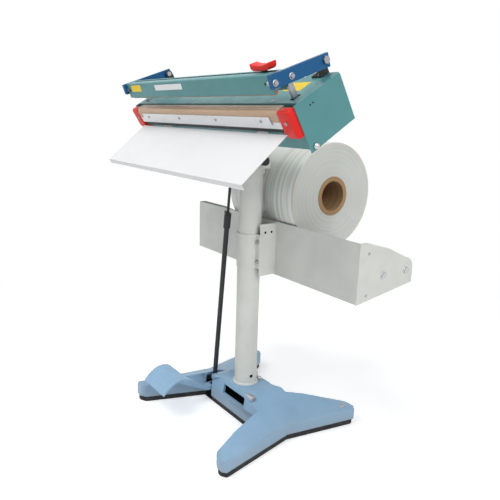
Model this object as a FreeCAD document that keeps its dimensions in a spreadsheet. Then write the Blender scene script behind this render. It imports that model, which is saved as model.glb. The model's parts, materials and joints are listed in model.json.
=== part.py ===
"""Foot-operated impulse heat sealer on a column, with a film trough behind it.

Millimetres. +Z is up, +X runs along the jaws to the operator's right and the operator stands at -Y.
The origin is on the floor, on the column's axis.
"""
import FreeCAD, Part
import math
import os
import Sketcher
from FreeCAD import Placement, Rotation, Vector

doc = FreeCAD.newDocument("impulse_sealer")
sheet = doc.addObject("Spreadsheet::Sheet", "Sizes")
NODES = {}

SIZES = {
    # Base casting, its rubber edge and the column
    "tip_inner": 188, "tip_outer": 226, "front_reach": 220, "rear_reach": 203,
    "front_notch_x": 126, "front_notch_y": 53, "rear_notch_x": 100, "rear_notch_y": 61,
    "waist_x": 184, "hub_x": 62, "hub_y": 46, "tip_round": 14,
    "rubber_height": 15, "rubber_width": 20, "rubber_inset": 2, "rubber_web": 3, "skirt_top": 47, "hub_top": 88,
    "casting_wall": 6, "window_left": -32, "window_right": 64, "window_low": 50, "window_high": 76,
    "boss_x": 78, "boss_y": 40, "boss_low": 40, "boss_high": 88, "boss_radius": 11,
    "column_radius": 30, "column_wall": 3, "column_top": 735,
    "gusset_depth": 34, "gusset_height": 60, "plate_metal": 4,
    # Pedal lever and pull rod
    "lever_x": -106, "lever_width": 24, "lever_metal": 12, "pivot_y": 42, "pivot_z": 34,
    "pivot_pin_radius": 6, "post_metal": 12, "lever_end": 11, "side_gap": 1, "rod_pin_y": -33, "rod_pin_z": 38, "rod_pin_radius": 4,
    "eye_radius": 9, "eye_width": 11, "eye_gap": 1.1, "running_gap": 0.06, "lever_knee_y": -62,
    "tread_left": -160, "tread_right": -50, "tread_front_y": -224, "tread_front_z": 85,
    "tread_rear_y": -148, "tread_rear_z": 107, "tread_crown": 16, "tread_metal": 5, "rib_radius": 1.6,
    "rod_slot_x": 36, "rod_slot_y": 58, "rod_top_x": 0, "rod_top_y": -54, "rod_top_z": 760,
    "upper_rod_radius": 3.5, "lower_rod_radius": 6.5, "sleeve_radius": 9, "sleeve_length": 34,
    "rod_joint_share": 0.658, "rod_end_share": 1.133, "end_nut_radius": 13, "end_nut_length": 7, "wing_reach": 13,
    # Head: housing turned about X by head_tilt, from the point above the column at its underside
    "head_height": 792, "head_tilt": 31.5, "head_half": 330, "cheek_metal": 2, "housing_front": -111,
    "housing_rear": 7, "housing_height": 99, "cheek_front": -122, "sheet_metal": 1.5,
    "cover_metal": 1.5, "link_slot_front": -100, "link_slot_rear": -78,
    "bar_front": -138, "bar_depth": 26, "bar_low": 60, "bar_high": 97, "bar_half": 295,
    "element_width": 6, "element_metal": 0.4, "cover_sheet": 0.8, "cover_drop": 12,
    "strip_low": 68, "strip_high": 86, "strip_metal": 2.5, "strip_half": 270, "channel_high": 60,
    "channel_low": 50, "block_inner": 295, "block_front": -139, "block_rear": -118, "block_low": 37,
    "block_high": 97, "block_chamfer": 6, "block_wall_gap": 0.4,
    "table_half": 302, "table_rear": -139, "table_rear_z": 49, "table_length": 137, "table_slope": 9,
    "table_metal": 1.5, "table_lip": 12, "table_arm_x": 200, "table_arm_metal": 3, "table_arm_length": 90,
    # Upper jaw, in its own frame at the pivot
    "open_angle": 11.25, "jaw_pivot_y": -2, "jaw_pivot_z": 128.4, "jaw_front": -128, "jaw_depth": 32,
    "jaw_low": -26, "jaw_high": 11.2, "jaw_half": 306, "jaw_wall": 2, "pad_width": 14, "pad_proud": 3.6,
    "pad_depth": 8, "arm_metal": 8, "arm_front": -137, "arm_rear": 10, "arm_low": -15, "arm_high": 11.5,
    "arm_bolt_front": -128, "arm_bolt_mid": -88, "arm_bolt_drop": -4, "arm_bolt_radius": 5,
    "arm_bolt_head": 8, "arm_bolt_head_length": 4, "pin_radius": 6, "lug_metal": 6, "lug_width": 26,
    "lug_foot": 22, "lug_gap": 3, "link_metal": 6, "link_gap": 3, "link_width": 12,
    "link_hole_gap": 1.6, "yoke_front": -98, "yoke_rear": -80, "yoke_low": 62, "yoke_high": 76,
    "yoke_eye_left": 0, "yoke_eye_right": 22, "yoke_eye_front": -46, "yoke_eye_rear": -4, "yoke_plate": 8,
    "tongue_left": -14, "tongue_right": 36, "tongue_rear": 2, "cutter_x": 262, "cutter_slot_half": 298, "cutter_slot_width": 8,
    "cutter_slot_y": -106, "stem_gap": 0.6, "stem_radius": 6, "stem_height": 9, "knob_length": 74,
    "knob_depth": 20, "knob_height": 17, "knob_dip": 6, "carriage_length": 30, "carriage_height": 10,
    # Head bracket under the housing
    "socket_radius": 34, "socket_low": 655, "socket_gap": 0.3, "flange_metal": 6, "flange_x": 70,
    "flange_front": -66, "flange_rear": 2, "gusset_x": 34, "clamp_knob_z": 689, "clamp_knob_radius": 11,
    "clamp_knob_length": 16, "foot_radius": 9, "foot_height": 9, "foot_x": 306, "foot_inset": 16,
    # Trough, its bracket, rollers and the film roll
    "trough_half": 330, "trough_front": 52, "trough_low": 394, "trough_high": 534, "trough_metal": 1.5,
    "trough_rear": 238, "trough_rear_z": 421, "trough_lip": 16, "end_metal": 2, "end_shoulder_y": 152,
    "end_shoulder_z": 511, "end_back_y": 212, "end_back_z": 484, "end_nose_z": 456,
    "roller_front_y": 135, "roller_rear_y": 215, "roller_z": 452, "roller_radius": 19, "roller_half": 318,
    "shaft_radius": 4, "shaft_nut_radius": 7, "shaft_nut_length": 6, "roll_radius": 135, "roll_left": -150,
    "roll_right": 116, "roll_gap": 0.4, "core_radius": 50, "core_bore": 38, "fit_gap": 0.3,
    "bracket_x": 45, "bracket_low": 396, "bracket_high": 531, "bracket_metal": 2, "ear_inner": 33,
    "clamp_low": 415, "clamp_high": 504, "clamp_bolt_x": 39.5, "clamp_bolt_low": 434,
    "clamp_bolt_high": 486, "clamp_bolt_head": 4.6, "clamp_bolt_length": 5,
    # Controls on the left cheek and rear wall, and the works inside the housing
    "dial_y": -70, "dial_z": 58, "dial_radius": 16, "dial_length": 14, "dial_shaft": 3, "switch_y": -22,
    "switch_z": 58, "switch_wide": 14, "switch_tall": 21, "switch_deep": 7, "gland_x": -270,
    "gland_z": 26, "gland_radius": 9, "gland_bore": 4, "gland_length": 14, "coil_width": 86,
    "coil_depth": 62, "coil_height": 66, "coil_x": 200, "board_length": 120, "board_height": 60,
    "board_metal": 2, "board_x": -240,
}
for row, (alias, value) in enumerate(SIZES.items(), start=1):
    sheet.set("A%d" % row, alias)
    sheet.set("B%d" % row, str(value))
    sheet.setAlias("B%d" % row, alias)
doc.recompute()


class Cells:
    """Reads a driving size from the sheet by its alias."""

    def __getattr__(self, alias):
        return float(sheet.get(alias))


size = Cells()


def bind(target, prop, rule):
    """Tie one property to a rule written in the sheet's aliases."""
    words = rule
    for alias in sorted(SIZES, key=len, reverse=True):
        words = _swap_word(words, alias)
    target.setExpression(prop, words)


def _swap_word(rule, alias):
    """Put the sheet's name before each whole-word use of an alias."""
    out = ""
    at = 0
    while True:
        hit = rule.find(alias, at)
        if hit < 0:
            return out + rule[at:]
        end = hit + len(alias)
        before = rule[hit - 1] if hit else " "
        after = rule[end] if end < len(rule) else " "
        whole = not (before.isalnum() or before in "_.") and not (after.isalnum() or after == "_")
        out += rule[at:hit] + ("Sizes." + alias if whole else alias)
        at = end


def keep(shape_object, label):
    """Give a finished sub-part its label and list it for export."""
    shape_object.Label = label
    NODES[label] = shape_object
    return shape_object


def box(name, low, span):
    """A block from its low corner and spans, each a rule."""
    block = doc.addObject("Part::Box", name)
    for prop, rule in zip(("Length", "Width", "Height"), span):
        bind(block, prop, rule)
    for axis, rule in zip("xyz", low):
        bind(block, "Placement.Base." + axis, rule)
    return block


AXIS_TURNS = {"X": Rotation(Vector(0, 1, 0), 90), "Y": Rotation(Vector(1, 0, 0), -90), "Z": Rotation()}


def rod(name, start, radius, length, axis="Z"):
    """A round bar from the middle of its first end, along X, Y or Z."""
    bar = doc.addObject("Part::Cylinder", name)
    bind(bar, "Radius", radius)
    bind(bar, "Height", length)
    bar.Placement = Placement(Vector(), AXIS_TURNS[axis])
    for letter, rule in zip("xyz", start):
        bind(bar, "Placement.Base." + letter, rule)
    return bar


def hex_bar(name, start, radius, length, axis="Z"):
    """A six-sided bar, such as a bolt head or a nut."""
    bar = doc.addObject("Part::Prism", name)
    bar.Polygon = 6
    bind(bar, "Circumradius", radius)
    bind(bar, "Height", length)
    bar.Placement = Placement(Vector(), AXIS_TURNS[axis])
    for letter, rule in zip("xyz", start):
        bind(bar, "Placement.Base." + letter, rule)
    return bar


def join(name, *pieces):
    """One solid from several."""
    fused = doc.addObject("Part::MultiFuse", name)
    fused.Shapes = list(pieces)
    return fused


def less(name, base, *tools):
    """A solid with others taken out of it."""
    cut = doc.addObject("Part::Cut", name)
    cut.Base = base
    cut.Tool = tools[0] if len(tools) == 1 else join(name + "_tools", *tools)
    return cut


def group(name, *pieces):
    """Several like solids kept as one sub-part."""
    several = doc.addObject("Part::Compound", name)
    several.Links = list(pieces)
    return several


PLANES = {
    "XY": Placement(),
    "YZ": Placement(Vector(), Rotation(Vector(1, 1, 1), 120)),
    "XZ": Placement(Vector(), Rotation(Vector(1, 0, 0), 90)),
}
OFFSETS = {"XY": "z", "YZ": "x", "XZ": "y"}


def outline(name, plane, points, offset="0"):
    """A closed sketch through points whose coordinates are rules.

    A point with four entries ends an arc that passes through the first two on its way.
    """
    sketch = doc.addObject("Sketcher::SketchObject", name)
    sketch.Placement = PLANES[plane]
    bind(sketch, "Placement.Base." + OFFSETS[plane], offset)
    ends = [Vector(_number(p[-2]), _number(p[-1]), 0) for p in points]
    tails = []
    for index, point in enumerate(points):
        start = ends[index - 1]
        if len(point) == 4:
            via = Vector(_number(point[0]), _number(point[1]), 0)
            curve, forward = _arc(start, via, ends[index])
        else:
            curve, forward = Part.LineSegment(start, ends[index]), True
        sketch.addGeometry(curve)
        tails.append((1, 2) if forward else (2, 1))
    for index, point in enumerate(points):
        before = (index - 1) % len(points)
        sketch.addConstraint(Sketcher.Constraint("Coincident", before, tails[before][1], index, tails[index][0]))
        _pin_point(sketch, index, tails[index][1], point[-2:])
        if len(point) == 4:
            via = Vector(_number(point[0]), _number(point[1]), 0)
            number = sketch.addGeometry(Part.Point(via), True)
            _pin_point(sketch, number, 1, point[:2])
            sketch.addConstraint(Sketcher.Constraint("PointOnObject", number, 1, index))
    return sketch


def _pin_point(sketch, curve, end_at, rules):
    """Tie a curve's end to signed distances from the sketch's origin."""
    for kind, rule in zip(("DistanceX", "DistanceY"), rules):
        number = sketch.addConstraint(Sketcher.Constraint(kind, -1, 1, curve, end_at, _number(rule)))
        bind(sketch, "Constraints[%d]" % number, rule)


def _arc(start, via, end):
    """A counter-clockwise arc through three points, and whether it runs from start to end."""
    middle = Part.Arc(start, via, end).toShape().Curve.Center
    first = (start - middle).x, (start - middle).y
    last = (end - middle).x, (end - middle).y
    turn = (via - start).cross(end - via).z
    ring_line = Part.Circle(middle, Vector(0, 0, 1), (start - middle).Length)
    from_angle = math.atan2(first[1], first[0])
    to_angle = math.atan2(last[1], last[0])
    if turn > 0:
        return Part.ArcOfCircle(ring_line, from_angle, to_angle), True
    return Part.ArcOfCircle(ring_line, to_angle, from_angle), False


def _number(rule):
    """The value that a rule has now, read through a scratch property of the sheet."""
    words = rule
    for alias in sorted(SIZES, key=len, reverse=True):
        words = _swap_word(words, alias)
    return float(getattr(sheet.evalExpression(words), "Value", sheet.evalExpression(words)))


def slab(name, sketch, direction, length, both=False):
    """Material drawn out from an outline along a direction."""
    solid = doc.addObject("Part::Extrusion", name)
    solid.Base = sketch
    solid.DirMode = "Custom"
    solid.Dir = direction
    solid.Solid = True
    solid.Symmetric = both
    bind(solid, "LengthFwd", length)
    return solid


ALONG_X = Vector(1, 0, 0)
ALONG_Y = Vector(0, 1, 0)
ALONG_Z = Vector(0, 0, 1)
HEAD = ("0", "0", "head_height", "head_tilt")
JAW_BASE_Y = "jaw_pivot_y * cos(head_tilt * 1 deg) - jaw_pivot_z * sin(head_tilt * 1 deg)"
JAW_BASE_Z = "head_height + jaw_pivot_y * sin(head_tilt * 1 deg) + jaw_pivot_z * cos(head_tilt * 1 deg)"
JAW = ("0", JAW_BASE_Y, JAW_BASE_Z, "head_tilt - open_angle")


def seat(piece, label, frame):
    """Finish a sub-part that is drawn in the head's or the jaw's own frame."""
    carrier = piece
    if piece.TypeId in ("Part::Box", "Part::Cylinder", "Part::Prism"):
        carrier = group(label + "_seat", piece)
    carrier.Placement = Placement(Vector(), Rotation(Vector(1, 0, 0), 1))
    for letter, rule in zip("xyz", frame[:3]):
        bind(carrier, "Placement.Base." + letter, rule)
    bind(carrier, "Placement.Rotation.Angle", frame[3])
    return keep(carrier, label)


SIDES = {"left": -1, "right": 1}


def span_from(side, inner, thick):
    """The low X of a slab of some thickness that starts at an inner distance on one side."""
    return inner if side == "right" else "-(%s) - (%s)" % (inner, thick)


def star(name, offset, rows):
    """A base outline: eight arm-tip corners, the notches and the waists, from four rows of rules."""
    tip_in, tip_out, notch, rear_notch, waist, front, rear = rows
    points = [
        ("-(%s)" % notch[0], "-(%s)" % notch[1]), (notch[0], "-(%s)" % notch[1]),
        (tip_in, "-(%s)" % front), (tip_out, "-(%s)" % front), (waist, "0"),
        (tip_out, rear), (tip_in, rear), (rear_notch[0], rear_notch[1]),
        ("-(%s)" % rear_notch[0], rear_notch[1]), ("-(%s)" % tip_in, rear), ("-(%s)" % tip_out, rear),
        ("-(%s)" % waist, "0"), ("-(%s)" % tip_out, "-(%s)" % front), ("-(%s)" % tip_in, "-(%s)" % front),
    ]
    return outline(name, "XY", points, offset)


def ring(name, source, offset):
    """An outline moved in or out by a rule."""
    moved = doc.addObject("Part::Offset2D", name)
    moved.Source = source
    moved.Join = 0
    bind(moved, "Value", offset)
    return moved


def crown(name, sections):
    """Straight-sided skin through outlines."""
    loft = doc.addObject("Part::Loft", name)
    loft.Sections = sections
    loft.Solid = True
    loft.Ruled = True
    return loft


def within(name, *pieces):
    """What several solids have in common."""
    common = doc.addObject("Part::MultiCommon", name)
    common.Shapes = list(pieces)
    return common


def build_base():
    """Four-armed casting, rubber edge, column, its gusset and the bolts of the hub."""
    def rows(inset, hub_share):
        if hub_share:
            x, y = "hub_x - %s" % inset, "hub_y - %s" % inset
            return (x + " * 1.02", "(%s) * 1.06" % x, ("(%s) * 0.8" % x, y), ("(%s) * 0.8" % x, y),
                    "(%s) * 1.12" % x, "(%s) * 0.9" % y, "(%s) * 0.9" % y)
        return ("tip_inner + " + inset + " * 0.6", "tip_outer - " + inset,
                ("front_notch_x - " + inset + " * 0.4", "front_notch_y - " + inset),
                ("rear_notch_x - " + inset + " * 0.4", "rear_notch_y - " + inset),
                "waist_x - " + inset, "front_reach - " + inset, "rear_reach - " + inset)

    low = star("base_low", "rubber_height", rows("0", False))
    top = star("base_top", "skirt_top", rows("0", False))
    hub = star("base_hub", "hub_top", rows("0", True))
    skirt = slab("base_skirt", low, ALONG_Z, "skirt_top - rubber_height")
    bound = slab("base_bound", low, ALONG_Z, "hub_top - rubber_height")
    outer = join("base_outer", skirt, within("base_slopes", crown("base_crown", [top, hub]), bound))
    cavity_low = star("cavity_low", "rubber_height", rows("casting_wall", False))
    cavity_top = star("cavity_top", "skirt_top - casting_wall", rows("casting_wall", False))
    cavity_hub = star("cavity_hub", "hub_top - casting_wall", rows("casting_wall", True))
    cavity_skirt = slab("cavity_skirt", cavity_low, ALONG_Z, "skirt_top - rubber_height - casting_wall")
    cavity_bound = slab("cavity_bound", cavity_low, ALONG_Z, "hub_top - rubber_height")
    cavity_slopes = within("cavity_slopes", crown("cavity_crown", [cavity_top, cavity_hub]), cavity_bound)
    cavity = join("base_cavity", cavity_skirt, cavity_slopes)
    window = box("hub_window", ("window_left", "-front_notch_y - 20", "window_low"),
                 ("window_right - window_left", "front_notch_y", "window_high - window_low"))
    lever_gap = "lever_width + 10"
    mouth = box("lever_mouth", ("lever_x - (%s) / 2" % lever_gap, "-front_notch_y - 40", "rubber_height"),
                (lever_gap, "80", "skirt_top - rubber_height + 4"))
    slot = box("rod_slot", ("lever_x - rod_slot_x / 2", "rod_pin_y - rod_slot_y / 2", "skirt_top - 10"),
               ("rod_slot_x", "rod_slot_y", "hub_top"))
    boss = rod("hub_boss", ("boss_x", "-boss_y", "boss_low"), "boss_radius", "boss_high - boss_low")
    shell = less("base_shell", outer, cavity, window, mouth, slot)
    post_block = box("pivot_post_block",
                     ("lever_x - lever_width / 2 - side_gap - post_metal", "pivot_y - 14", "rubber_height"),
                     ("lever_width + side_gap * 2 + post_metal * 2", "28", "hub_top"))
    post_core = within("pivot_post_core", post_block, outer)
    post_gap = box("pivot_post_gap", ("lever_x - lever_width / 2 - side_gap", "pivot_y - 40", "0"),
                   ("lever_width + side_gap * 2", "80", "hub_top * 2"))
    pin_hole = rod("pivot_pin_hole", ("lever_x - lever_width * 2", "pivot_y", "pivot_z"),
                   "pivot_pin_radius", "lever_width * 4", "X")
    posts = less("posts_open", post_core, post_gap, pin_hole)
    keep(join("base_casting", shell, boss, posts), "base_casting")
    edge = slab("edge_outer", ring("edge_line", star("edge_star", "0", rows("0", False)), "-rubber_inset"),
                ALONG_Z, "rubber_height")
    hollow = slab("edge_inner", ring("edge_inner_line", star("edge_star_in", "rubber_web", rows("0", False)),
                                     "-rubber_inset - rubber_width"), ALONG_Z, "rubber_height")
    gap = box("edge_gap", ("lever_x - (%s) / 2" % lever_gap, "-front_notch_y - 40", "rubber_web"),
              (lever_gap, "80", "rubber_height"))
    keep(less("base_rubber_mat", edge, hollow, gap), "base_rubber_mat")
    tube = rod("column_outer", ("0", "0", "hub_top"), "column_radius", "column_top - hub_top")
    bore = rod("column_bore", ("0", "0", "hub_top"), "column_radius - column_wall", "column_top - hub_top")
    keep(less("column", tube, bore), "column")
    web = outline("gusset_line", "YZ", [
        ("column_radius", "hub_top"), ("hub_y - 4", "hub_top"),
        ("hub_y - 4", "hub_top + 8"), ("column_radius", "hub_top + gusset_height")], "-plate_metal / 2")
    keep(slab("column_gusset", web, ALONG_X, "plate_metal"), "column_gusset")
    heads = [hex_bar("boss_bolt_head", ("boss_x", "-boss_y", "boss_high"), "9", "7")]
    for turn, x in enumerate(("-16", "16")):
        heads.append(hex_bar("hub_bolt_%d" % turn, (x, "hub_y - 10", "hub_top"), "6.5", "6"))
    keep(group("hub_bolts", *heads), "hub_bolts")


def build_pedal():
    """Pedal lever with its ribbed tread, pivot pin and rod pin."""
    half = "lever_metal / 2"
    line = outline("lever_line", "YZ", [
        ("pivot_y + lever_end", "pivot_z - " + half), ("pivot_y + lever_end", "pivot_z + " + half),
        ("rod_pin_y", "rod_pin_z + " + half), ("lever_knee_y", "rod_pin_z + " + half),
        ("tread_rear_y - 4", "tread_rear_z - tread_metal - 2"),
        ("tread_rear_y - 34", "tread_rear_z - tread_metal + 1"),
        ("tread_rear_y - 26", "tread_rear_z - tread_metal - 12"),
        ("lever_knee_y", "rod_pin_z - " + half), ("rod_pin_y", "rod_pin_z - " + half)],
        "lever_x - lever_width / 2")
    bar = slab("lever_bar", line, ALONG_X, "lever_width")
    hole = rod("lever_bore", ("lever_x - lever_width", "pivot_y", "pivot_z"),
               "pivot_pin_radius + running_gap", "lever_width * 2", "X")
    fork = box("lever_fork", ("lever_x - eye_width / 2 - eye_gap", "rod_pin_y - eye_radius - 4", "0"),
               ("eye_width + eye_gap * 2", "eye_radius * 2 + 8", "100"))
    pin_seat = rod("lever_pin_seat", ("lever_x - lever_width", "rod_pin_y", "rod_pin_z"),
                   "rod_pin_radius", "lever_width * 2", "X")
    keep(less("pedal_lever", bar, hole, fork, pin_seat), "pedal_lever")
    keep(rod("rod_pin", ("lever_x - lever_width / 2", "rod_pin_y", "rod_pin_z"),
             "rod_pin_radius", "lever_width", "X"), "rod_pin")
    keep(rod("pedal_pivot_pin", ("lever_x - lever_width / 2 - side_gap - post_metal", "pivot_y", "pivot_z"),
             "pivot_pin_radius", "lever_width + side_gap * 2 + post_metal * 2", "X"), "pedal_pivot_pin")
    middle = ("(tread_front_y + tread_rear_y) / 2", "(tread_front_z + tread_rear_z) / 2")
    under = outline("tread_line", "YZ", [
        ("tread_front_y", "tread_front_z"),
        (middle[0] + " - 4", middle[1] + " + tread_crown", "tread_rear_y", "tread_rear_z"),
        ("tread_rear_y", "tread_rear_z - tread_metal"),
        (middle[0] + " - 4 ", middle[1] + " + tread_crown - tread_metal",
         "tread_front_y", "tread_front_z - tread_metal")], "tread_left")
    plate = slab("tread_plate", under, ALONG_X, "tread_right - tread_left")
    ribs = []
    for step in range(6):
        share = (step + 1) / 7.0
        y = "tread_front_y + (tread_rear_y - tread_front_y) * %.4f" % share
        z = ("tread_front_z + (tread_rear_z - tread_front_z) * %.4f + tread_crown * %.4f - rib_radius * 0.4"
             % (share, 4 * share * (1 - share)))
        ribs.append(rod("tread_rib_%d" % step, ("tread_left", y, z), "rib_radius",
                        "tread_right - tread_left", "X"))
    keep(join("pedal_tread", plate, *ribs), "pedal_tread")


def build_pull_rod():
    """Two-piece pull rod that leans from the lever to the head, with its adjusting nut and sleeve."""
    foot = Vector(size.lever_x, size.rod_pin_y, size.rod_pin_z)
    head = Vector(size.rod_top_x, size.rod_top_y, size.rod_top_z)
    lean = Rotation(Vector(0, 0, 1), head - foot)
    reach = (head - foot).Length

    def leaning(name, radius, start, length):
        bar = doc.addObject("Part::Cylinder", name)
        bind(bar, "Radius", radius)
        bar.Height = length
        bar.Placement = Placement(foot + lean.multVec(Vector(0, 0, start)), lean)
        return bar

    joint = reach * size.rod_joint_share
    shank = leaning("rod_shank", "lower_rod_radius", size.eye_radius * 1.6, joint - size.eye_radius * 1.6)
    neck = leaning("rod_neck", "rod_pin_radius", size.eye_radius - 2, size.eye_radius)
    eye = rod("rod_eye", ("lever_x - eye_width / 2", "rod_pin_y", "rod_pin_z"), "eye_radius", "eye_width", "X")
    bore = rod("rod_eye_bore", ("lever_x - eye_width", "rod_pin_y", "rod_pin_z"),
               "rod_pin_radius + eye_gap", "eye_width * 2", "X")
    keep(less("lower_pull_rod", join("rod_lower", shank, neck, eye), bore), "lower_pull_rod")
    sleeve_end = joint + size.sleeve_length
    keep(leaning("rod_sleeve", "sleeve_radius", joint, size.sleeve_length), "rod_sleeve")
    rod_end = reach * size.rod_end_share
    thin = leaning("rod_thin", "upper_rod_radius", sleeve_end, rod_end - sleeve_end)
    end_nut = leaning("rod_end_nut", "end_nut_radius", rod_end - size.end_nut_length, size.end_nut_length)
    keep(join("upper_pull_rod", thin, end_nut), "upper_pull_rod")
    nut = leaning("wing_nut_hub", "sleeve_radius - 2", sleeve_end, 7)
    wing = box("wing_nut_wing", ("-wing_reach", "-2", "0"), ("wing_reach * 2", "4", "9"))
    wing_seat = group("wing_seat", wing)
    wing_seat.Placement = Placement(foot + lean.multVec(Vector(0, 0, sleeve_end)), lean)
    passage = leaning("wing_nut_bore", "upper_rod_radius + running_gap", sleeve_end - 5, 30)
    keep(less("rod_wing_nut", join("wing_nut_solid", nut, wing_seat), passage), "rod_wing_nut")


def build_housing():
    """Folded housing, cheeks, top cover, controls and the works inside."""
    tray_line = outline("tray_line", "YZ", [
        ("housing_front", "0"), ("housing_rear", "0"), ("housing_rear", "housing_height - cover_metal"),
        ("housing_rear - sheet_metal", "housing_height - cover_metal"),
        ("housing_rear - sheet_metal", "sheet_metal"), ("housing_front + sheet_metal", "sheet_metal"),
        ("housing_front + sheet_metal", "housing_height - cover_metal"),
        ("housing_front", "housing_height - cover_metal")], "-head_half + cheek_metal")
    tray = slab("tray", tray_line, ALONG_X, "head_half * 2 - cheek_metal * 2")
    rod_hole = box("tray_rod_hole", ("-30", "-82", "-5"), ("60", "54", "10"))
    gland_hole = rod("tray_gland_hole", ("gland_x", "0", "gland_z"), "gland_radius - 3", "20", "Y")
    seat(less("housing_tray_cut", tray, rod_hole, gland_hole), "housing_tray", HEAD)
    cover = box("cover_plate", ("-head_half + cheek_metal", "housing_front", "housing_height - cover_metal"),
                ("head_half * 2 - cheek_metal * 2", "housing_rear - housing_front", "cover_metal"))
    slots = []
    for side in SIDES:
        low = span_from(side, "jaw_half - link_gap - link_metal - 3", "link_metal + 6")
        slots.append(box("link_slot_" + side, (low, "link_slot_front", "0"),
                         ("link_metal + 6", "link_slot_rear - link_slot_front", "200")))
    seat(less("top_cover_cut", cover, *slots), "top_cover", HEAD)
    for side in SIDES:
        cheek_line = outline("cheek_line_" + side, "YZ", [
            ("cheek_front", "0"), ("housing_rear", "0"), ("housing_rear", "housing_height - 5"),
            ("housing_rear - 1.5", "housing_height - 1.5", "housing_rear - 5", "housing_height"),
            ("cheek_front", "housing_height")], span_from(side, "head_half - cheek_metal", "cheek_metal"))
        cheek = slab("cheek_" + side, cheek_line, ALONG_X, "cheek_metal")
        if side == "left":
            holes = [rod("dial_hole", ("-head_half - 10", "dial_y", "dial_z"), "dial_shaft + running_gap",
                         "30", "X"),
                     box("switch_hole", ("-head_half - 10", "switch_y - switch_wide / 2",
                                         "switch_z - switch_tall / 2"), ("30", "switch_wide", "switch_tall"))]
            cheek = less("cheek_cut", cheek, *holes)
        seat(cheek, "cheek_" + side, HEAD)
    shaft = rod("dial_shaft_bar", ("-head_half", "dial_y", "dial_z"), "dial_shaft", "12", "X")
    disc = rod("dial_disc", ("-head_half - dial_length - 1", "dial_y", "dial_z"), "dial_radius",
               "dial_length", "X")
    grip = box("dial_grip", ("-head_half - dial_length - 7", "dial_y - 3", "dial_z - dial_radius + 2"),
               ("8", "6", "dial_radius * 2 - 4"))
    stub = rod("dial_stub", ("-head_half - 2", "dial_y", "dial_z"), "dial_shaft", "4", "X")
    seat(join("timer_dial_solid", shaft, stub, disc, grip), "timer_dial", HEAD)
    rocker = outline("rocker_line", "XZ", [
        ("-head_half - 4", "switch_z - switch_tall / 2 + 1"),
        ("-head_half + switch_deep", "switch_z - switch_tall / 2 + 1"),
        ("-head_half + switch_deep", "switch_z + switch_tall / 2 - 1"),
        ("-head_half - 1", "switch_z + switch_tall / 2 - 1"),
        ("-head_half - 1", "switch_z")], "switch_y - switch_wide / 2 + 1")
    trunnion = rod("rocker_trunnion", ("-head_half + cheek_metal", "switch_y - switch_wide / 2 + 0.4", "switch_z"),
                   "cheek_metal", "switch_wide - 0.8", "Y")
    seat(join("rocker_solid", slab("rocker", rocker, ALONG_Y, "switch_wide - 2"), trunnion), "power_rocker", HEAD)
    gland = rod("gland_body", ("gland_x", "housing_rear", "gland_z"), "gland_radius", "gland_length", "Y")
    gland_bore = rod("gland_hole", ("gland_x", "0", "gland_z"), "gland_bore", "60", "Y")
    seat(less("cord_gland_cut", gland, gland_bore), "cord_gland", HEAD)
    seat(box("transformer_core", ("coil_x - coil_width / 2", "-96 + coil_depth / 2", "sheet_metal"),
             ("coil_width", "coil_depth", "coil_height * 0.8")), "transformer", HEAD)
    seat(box("timer_board_plate", ("board_x", "-60", "sheet_metal"),
             ("board_length", "board_metal", "board_height")), "timer_board", HEAD)
    feet = []
    for number, (x, y) in enumerate((("foot_x", "housing_front + foot_inset"),
                                     ("-foot_x", "housing_front + foot_inset"),
                                     ("foot_x", "housing_rear - foot_inset"),
                                     ("-foot_x", "housing_rear - foot_inset"))):
        feet.append(rod("dome_foot_%d" % number, (x, y, "-foot_height"), "foot_radius", "foot_height"))
    seat(group("dome_feet_set", *feet), "dome_feet", HEAD)


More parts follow.
